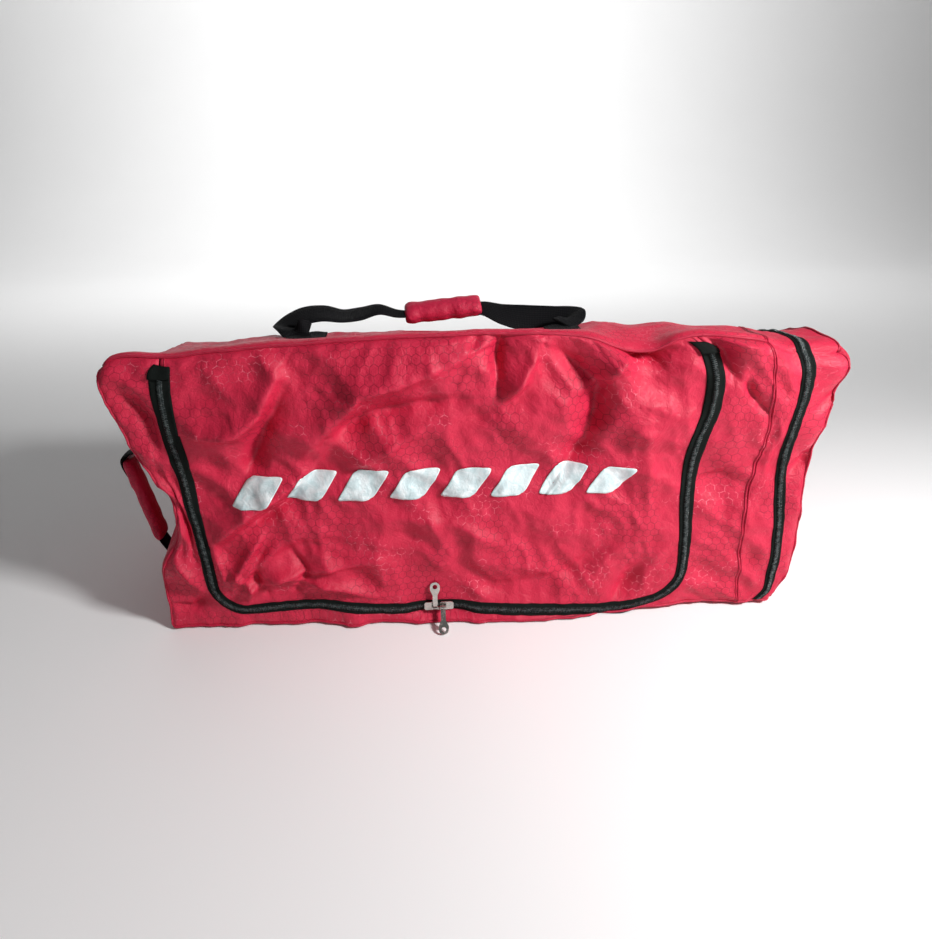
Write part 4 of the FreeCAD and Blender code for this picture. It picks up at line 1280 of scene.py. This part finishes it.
def make_haul_front():
    left, right = top_point(HAUL_X[0], -HAUL_BASE, 3.0), top_point(HAUL_X[1], -HAUL_BASE, 3.0)
    stations = [
        (left + (0, -3, -1), (1, 0, 0)),
        (left + (-22, 2, 2.5), (0.95, -0.3, 0)),
        (left + (-30, 18, 3), (0.8, -0.6, -0.2)),
        (left + (-10, 32, 14), (0.3, -1, -0.4)),
        (left + (16, 36, 17), (0, -1, -0.3)),
        (left + (42, 37, 13), (0, -1, -0.2)),
        (left + (66, 40, 15), (0, -1, -0.3)),
        (left + (90, 42, 20), (0, -1, -0.4)),
        (left + (116, 46, 13), (0, -1, -0.5)),
        (left + (138, 50, 12), (0, -1, -0.5)),
        ((-60, -41, left[2] + 14), (0, -1, -0.5)),
        ((-15, -40, left[2] + 17), (0, -1, -0.5)),
        ((12, -41, left[2] + 17), (0, -1, -0.5)),
        ((38, -46, left[2] + 10), (-0.05, -1, -0.7)),
        ((66, -50, left[2] + 6), (-0.1, -1, -1.0)),
        ((106, -56, left[2] + 7), (-0.3, -1, -0.9)),
        (right + (22, 30, 6), (-0.7, -0.8, -0.5)),
        (right + (17, 14, 4), (-0.95, -0.4, -0.1)),
        (right + (0, 2, 2), (-1, -0.1, 0)),
    ]
    make_strap("strap_haul_front", stations, 34, 2.0, "haul_webbing_front", on("front_haul_handle"),
               ((0, 1), (0.31, 1), (0.36, 0.68), (0.62, 0.68), (0.68, 1), (1, 1)))
    low, high = span("haul_grip_cover")
    middle_y = (low[1] + high[1]) / 2
    z = left[2] + 13
    pad_between("grip_haul_foam", (-97, middle_y, z - 2), (1, middle_y, z + 4), (0, 1, 0.5), 22, 11,
                "grip_foam", "haul_grip_foam", "front_haul_handle", 1)
    pad_between("grip_haul_cover", (-98, middle_y, z - 2), (8, middle_y, z + 9), (0, 1, 0.5), 35, 22,
                "red_grip", "haul_grip_cover", "front_haul_handle", 3, 0.95)


def make_haul_back():
    left, right = top_point(HAUL_X[0], HAUL_BASE, 3.0), top_point(HAUL_X[1], HAUL_BASE, 3.0)
    slope = (BACK_TOP - CREST_Z) / (BACK - CREST_Y)
    stations = [
        (left + (0, 2, 0), (-1, 0, 0)),
        (top_point(-221, 114, 5), (-1, 0.15, 0)),
        (top_point(-208, 132, 8), (-0.8, 0.8, 0.1)),
        (top_point(-184, 142, 7), (-0.2, 1, slope)),
        (top_point(-140, 145, 5), (0, 1, slope)),
        (top_point(-54, 147, 7), (0, 1, slope + 0.1)),
        (top_point(36, 145, 5), (0, 1, slope)),
        (top_point(76, 142, 7), (0.2, 1, slope)),
        (top_point(100, 132, 8), (0.8, 0.8, 0.1)),
        (top_point(112, 114, 5), (1, 0.15, 0)),
        (right + (0, 2, 0), (1, 0, 0)),
    ]
    make_strap("strap_haul_back", stations, 36, 2.0, "haul_webbing_back", on("back_haul_handle"))


def make_haul_patches():
    for side, x in (("left", HAUL_X[0]), ("right", HAUL_X[1])):
        for row, y in HAUL_PATCH_Y:
            centre = (x, y, float(height_at(y)))
            make_patch(f"patch_haul_{row}_{side}", centre, (1, 0, 0), (0, 1, 0), (0, 0, 1),
                       f"haul_patch_{row}_{side}")


END_Y = -95.0
END_LOOP_Z = (252.0, 88.0)
END_PATCH_Z = (("top", 250.0), ("bottom", 84.0))


def make_end_handle():
    upper, lower = settle(np.array([[LEFT - 1.5, END_Y, z] for z in END_LOOP_Z]))
    for side, z in END_PATCH_Z:
        make_patch(f"patch_end_{side}", (LEFT, END_Y, z), (0, 1, 0), (0, 0, 1), (-1, 0, 0), f"end_patch_{side}")
    top_of_grip, foot_of_grip = np.array([-486.0, END_Y, 232.0]), np.array([-462.0, END_Y, 104.0])
    stations = [
        (upper + (0, 0, -4), (0, 1, 0)),
        (upper + (-12, 0, 1), (0, 1, 0)),
        (upper + (-30, 0, -4), (0, 1, 0)),
        (top_of_grip + (0, 0, 6), (0, 1, 0)),
        (top_of_grip * 0.6 + foot_of_grip * 0.4, (0, 1, 0)),
        (foot_of_grip + (2, 0, -5), (0, 1, 0)),
        ((foot_of_grip + lower) / 2 + (0, 0, -4), (0, 1, 0)),
        (lower + (-1, 0, -3), (0, 1, 0)),
        (lower + (4, 0, -4), (0, 1, 0)),
    ]

    def bend(obj):
        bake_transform(obj)

    make_strap("strap_end_handle", stations, 28, 1.8, "end_handle_webbing", bend)
    pad_between("grip_end_foam", foot_of_grip + (0, 0, 1), top_of_grip - (0, 0, 1), (0, 1, 0), 32, 4,
                "grip_foam", "end_grip_foam", "end_handle", 0.5)
    pad_between("grip_end_cover", foot_of_grip, top_of_grip, (0, 1, 0), 37, 13,
                "red_grip", "end_grip_cover", "end_handle", 1.5, 0.95)


# ---------------------------------------------------------------- metal parts, floor, light and camera
def dress_metal():
    for name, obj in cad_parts.items():
        if "slider" in name or "pull" in name:
            obj.data.materials.clear()
            obj.data.materials.append(MATERIALS["bright_metal"])


def make_stage():
    """Pale floor that curves up into a backdrop well behind the bag."""
    profile = [(-6.0, 0.0), (3.0, 0.0)]
    profile += [(3.0 + 2 * math.sin(a), 2 - 2 * math.cos(a)) for a in np.radians(np.arange(6, 91, 6))]
    profile += [(5.0, 9.0)]
    points = [(x / MM, y / MM, z / MM) for y, z in profile for x in (-9.0, 9.0)]
    floor = make_mesh("floor", points, grid_faces(len(profile), 2))
    floor.data.materials.append(make_floor_material())


def add_light(name, place, target, size, watts):
    light = bpy.data.lights.new(name, "AREA")
    light.shape = "RECTANGLE"
    light.size, light.size_y = size
    light.energy = watts
    obj = bpy.data.objects.new(name, light)
    obj.location = place
    obj.rotation_mode = "QUATERNION"
    obj.rotation_quaternion = (Vector(target) - Vector(place)).to_track_quat("-Z", "Y")
    bpy.context.scene.collection.objects.link(obj)


def make_lights():
    add_light("key", (1.2, -0.95, 1.2), (0, -0.15, 0.2), (0.3, 0.3), 38)
    add_light("fill", (-1.6, -1.9, 0.9), (0, 0, 0.2), (1.8, 1.6), 2)
    add_light("overhead", (0.2, -0.2, 2.8), (0, 0, 0), (1.0, 0.8), 0.5)
    add_light("rear", (-1.2, 2.3, 1.7), (0, 0, 0.2), (1.6, 1.4), 5)
    add_light("backdrop", (0, 2.0, 2.6), (0, 4.6, 1.2), (4.0, 1.0), 120)
    world = bpy.data.worlds.new("studio")
    world.use_nodes = True
    background = world.node_tree.nodes["Background"]
    background.inputs[0].default_value = (1.0, 1.0, 1.0, 1)
    background.inputs[1].default_value = 0.12
    bpy.context.scene.world = world
    bpy.context.scene.view_settings.view_transform = "Standard"


CAMERA_AT = (-0.082, -0.978, 0.617)
PITCH, YAW, ROLL = (math.radians(a) for a in (25.29, 4.26, 0.24))
LENS_MM, FILM_MM = 26.0, 36.0


def make_camera():
    data = bpy.data.cameras.new("camera")
    data.sensor_fit = "HORIZONTAL"
    data.sensor_width = FILM_MM
    data.lens = LENS_MM
    data.clip_start = 0.01
    camera = bpy.data.objects.new("camera", data)
    ahead = Vector((math.sin(YAW) * math.cos(PITCH), math.cos(YAW) * math.cos(PITCH), -math.sin(PITCH)))
    level = Vector((math.cos(YAW), -math.sin(YAW), 0))
    upright = level.cross(ahead)
    right = math.cos(ROLL) * level + math.sin(ROLL) * upright
    up = right.cross(ahead)
    camera.matrix_world = Matrix.Translation(CAMERA_AT) @ Matrix((right, up, -ahead)).transposed().to_4x4()
    bpy.context.scene.collection.objects.link(camera)
    bpy.context.scene.camera = camera


make_camera()
make_stage()
make_lights()
make_shell()
make_main_zip()
make_end_zip()
make_seams()
make_graphic_bars()
make_haul_front()
make_haul_back()
make_haul_patches()
make_end_handle()
dress_metal()
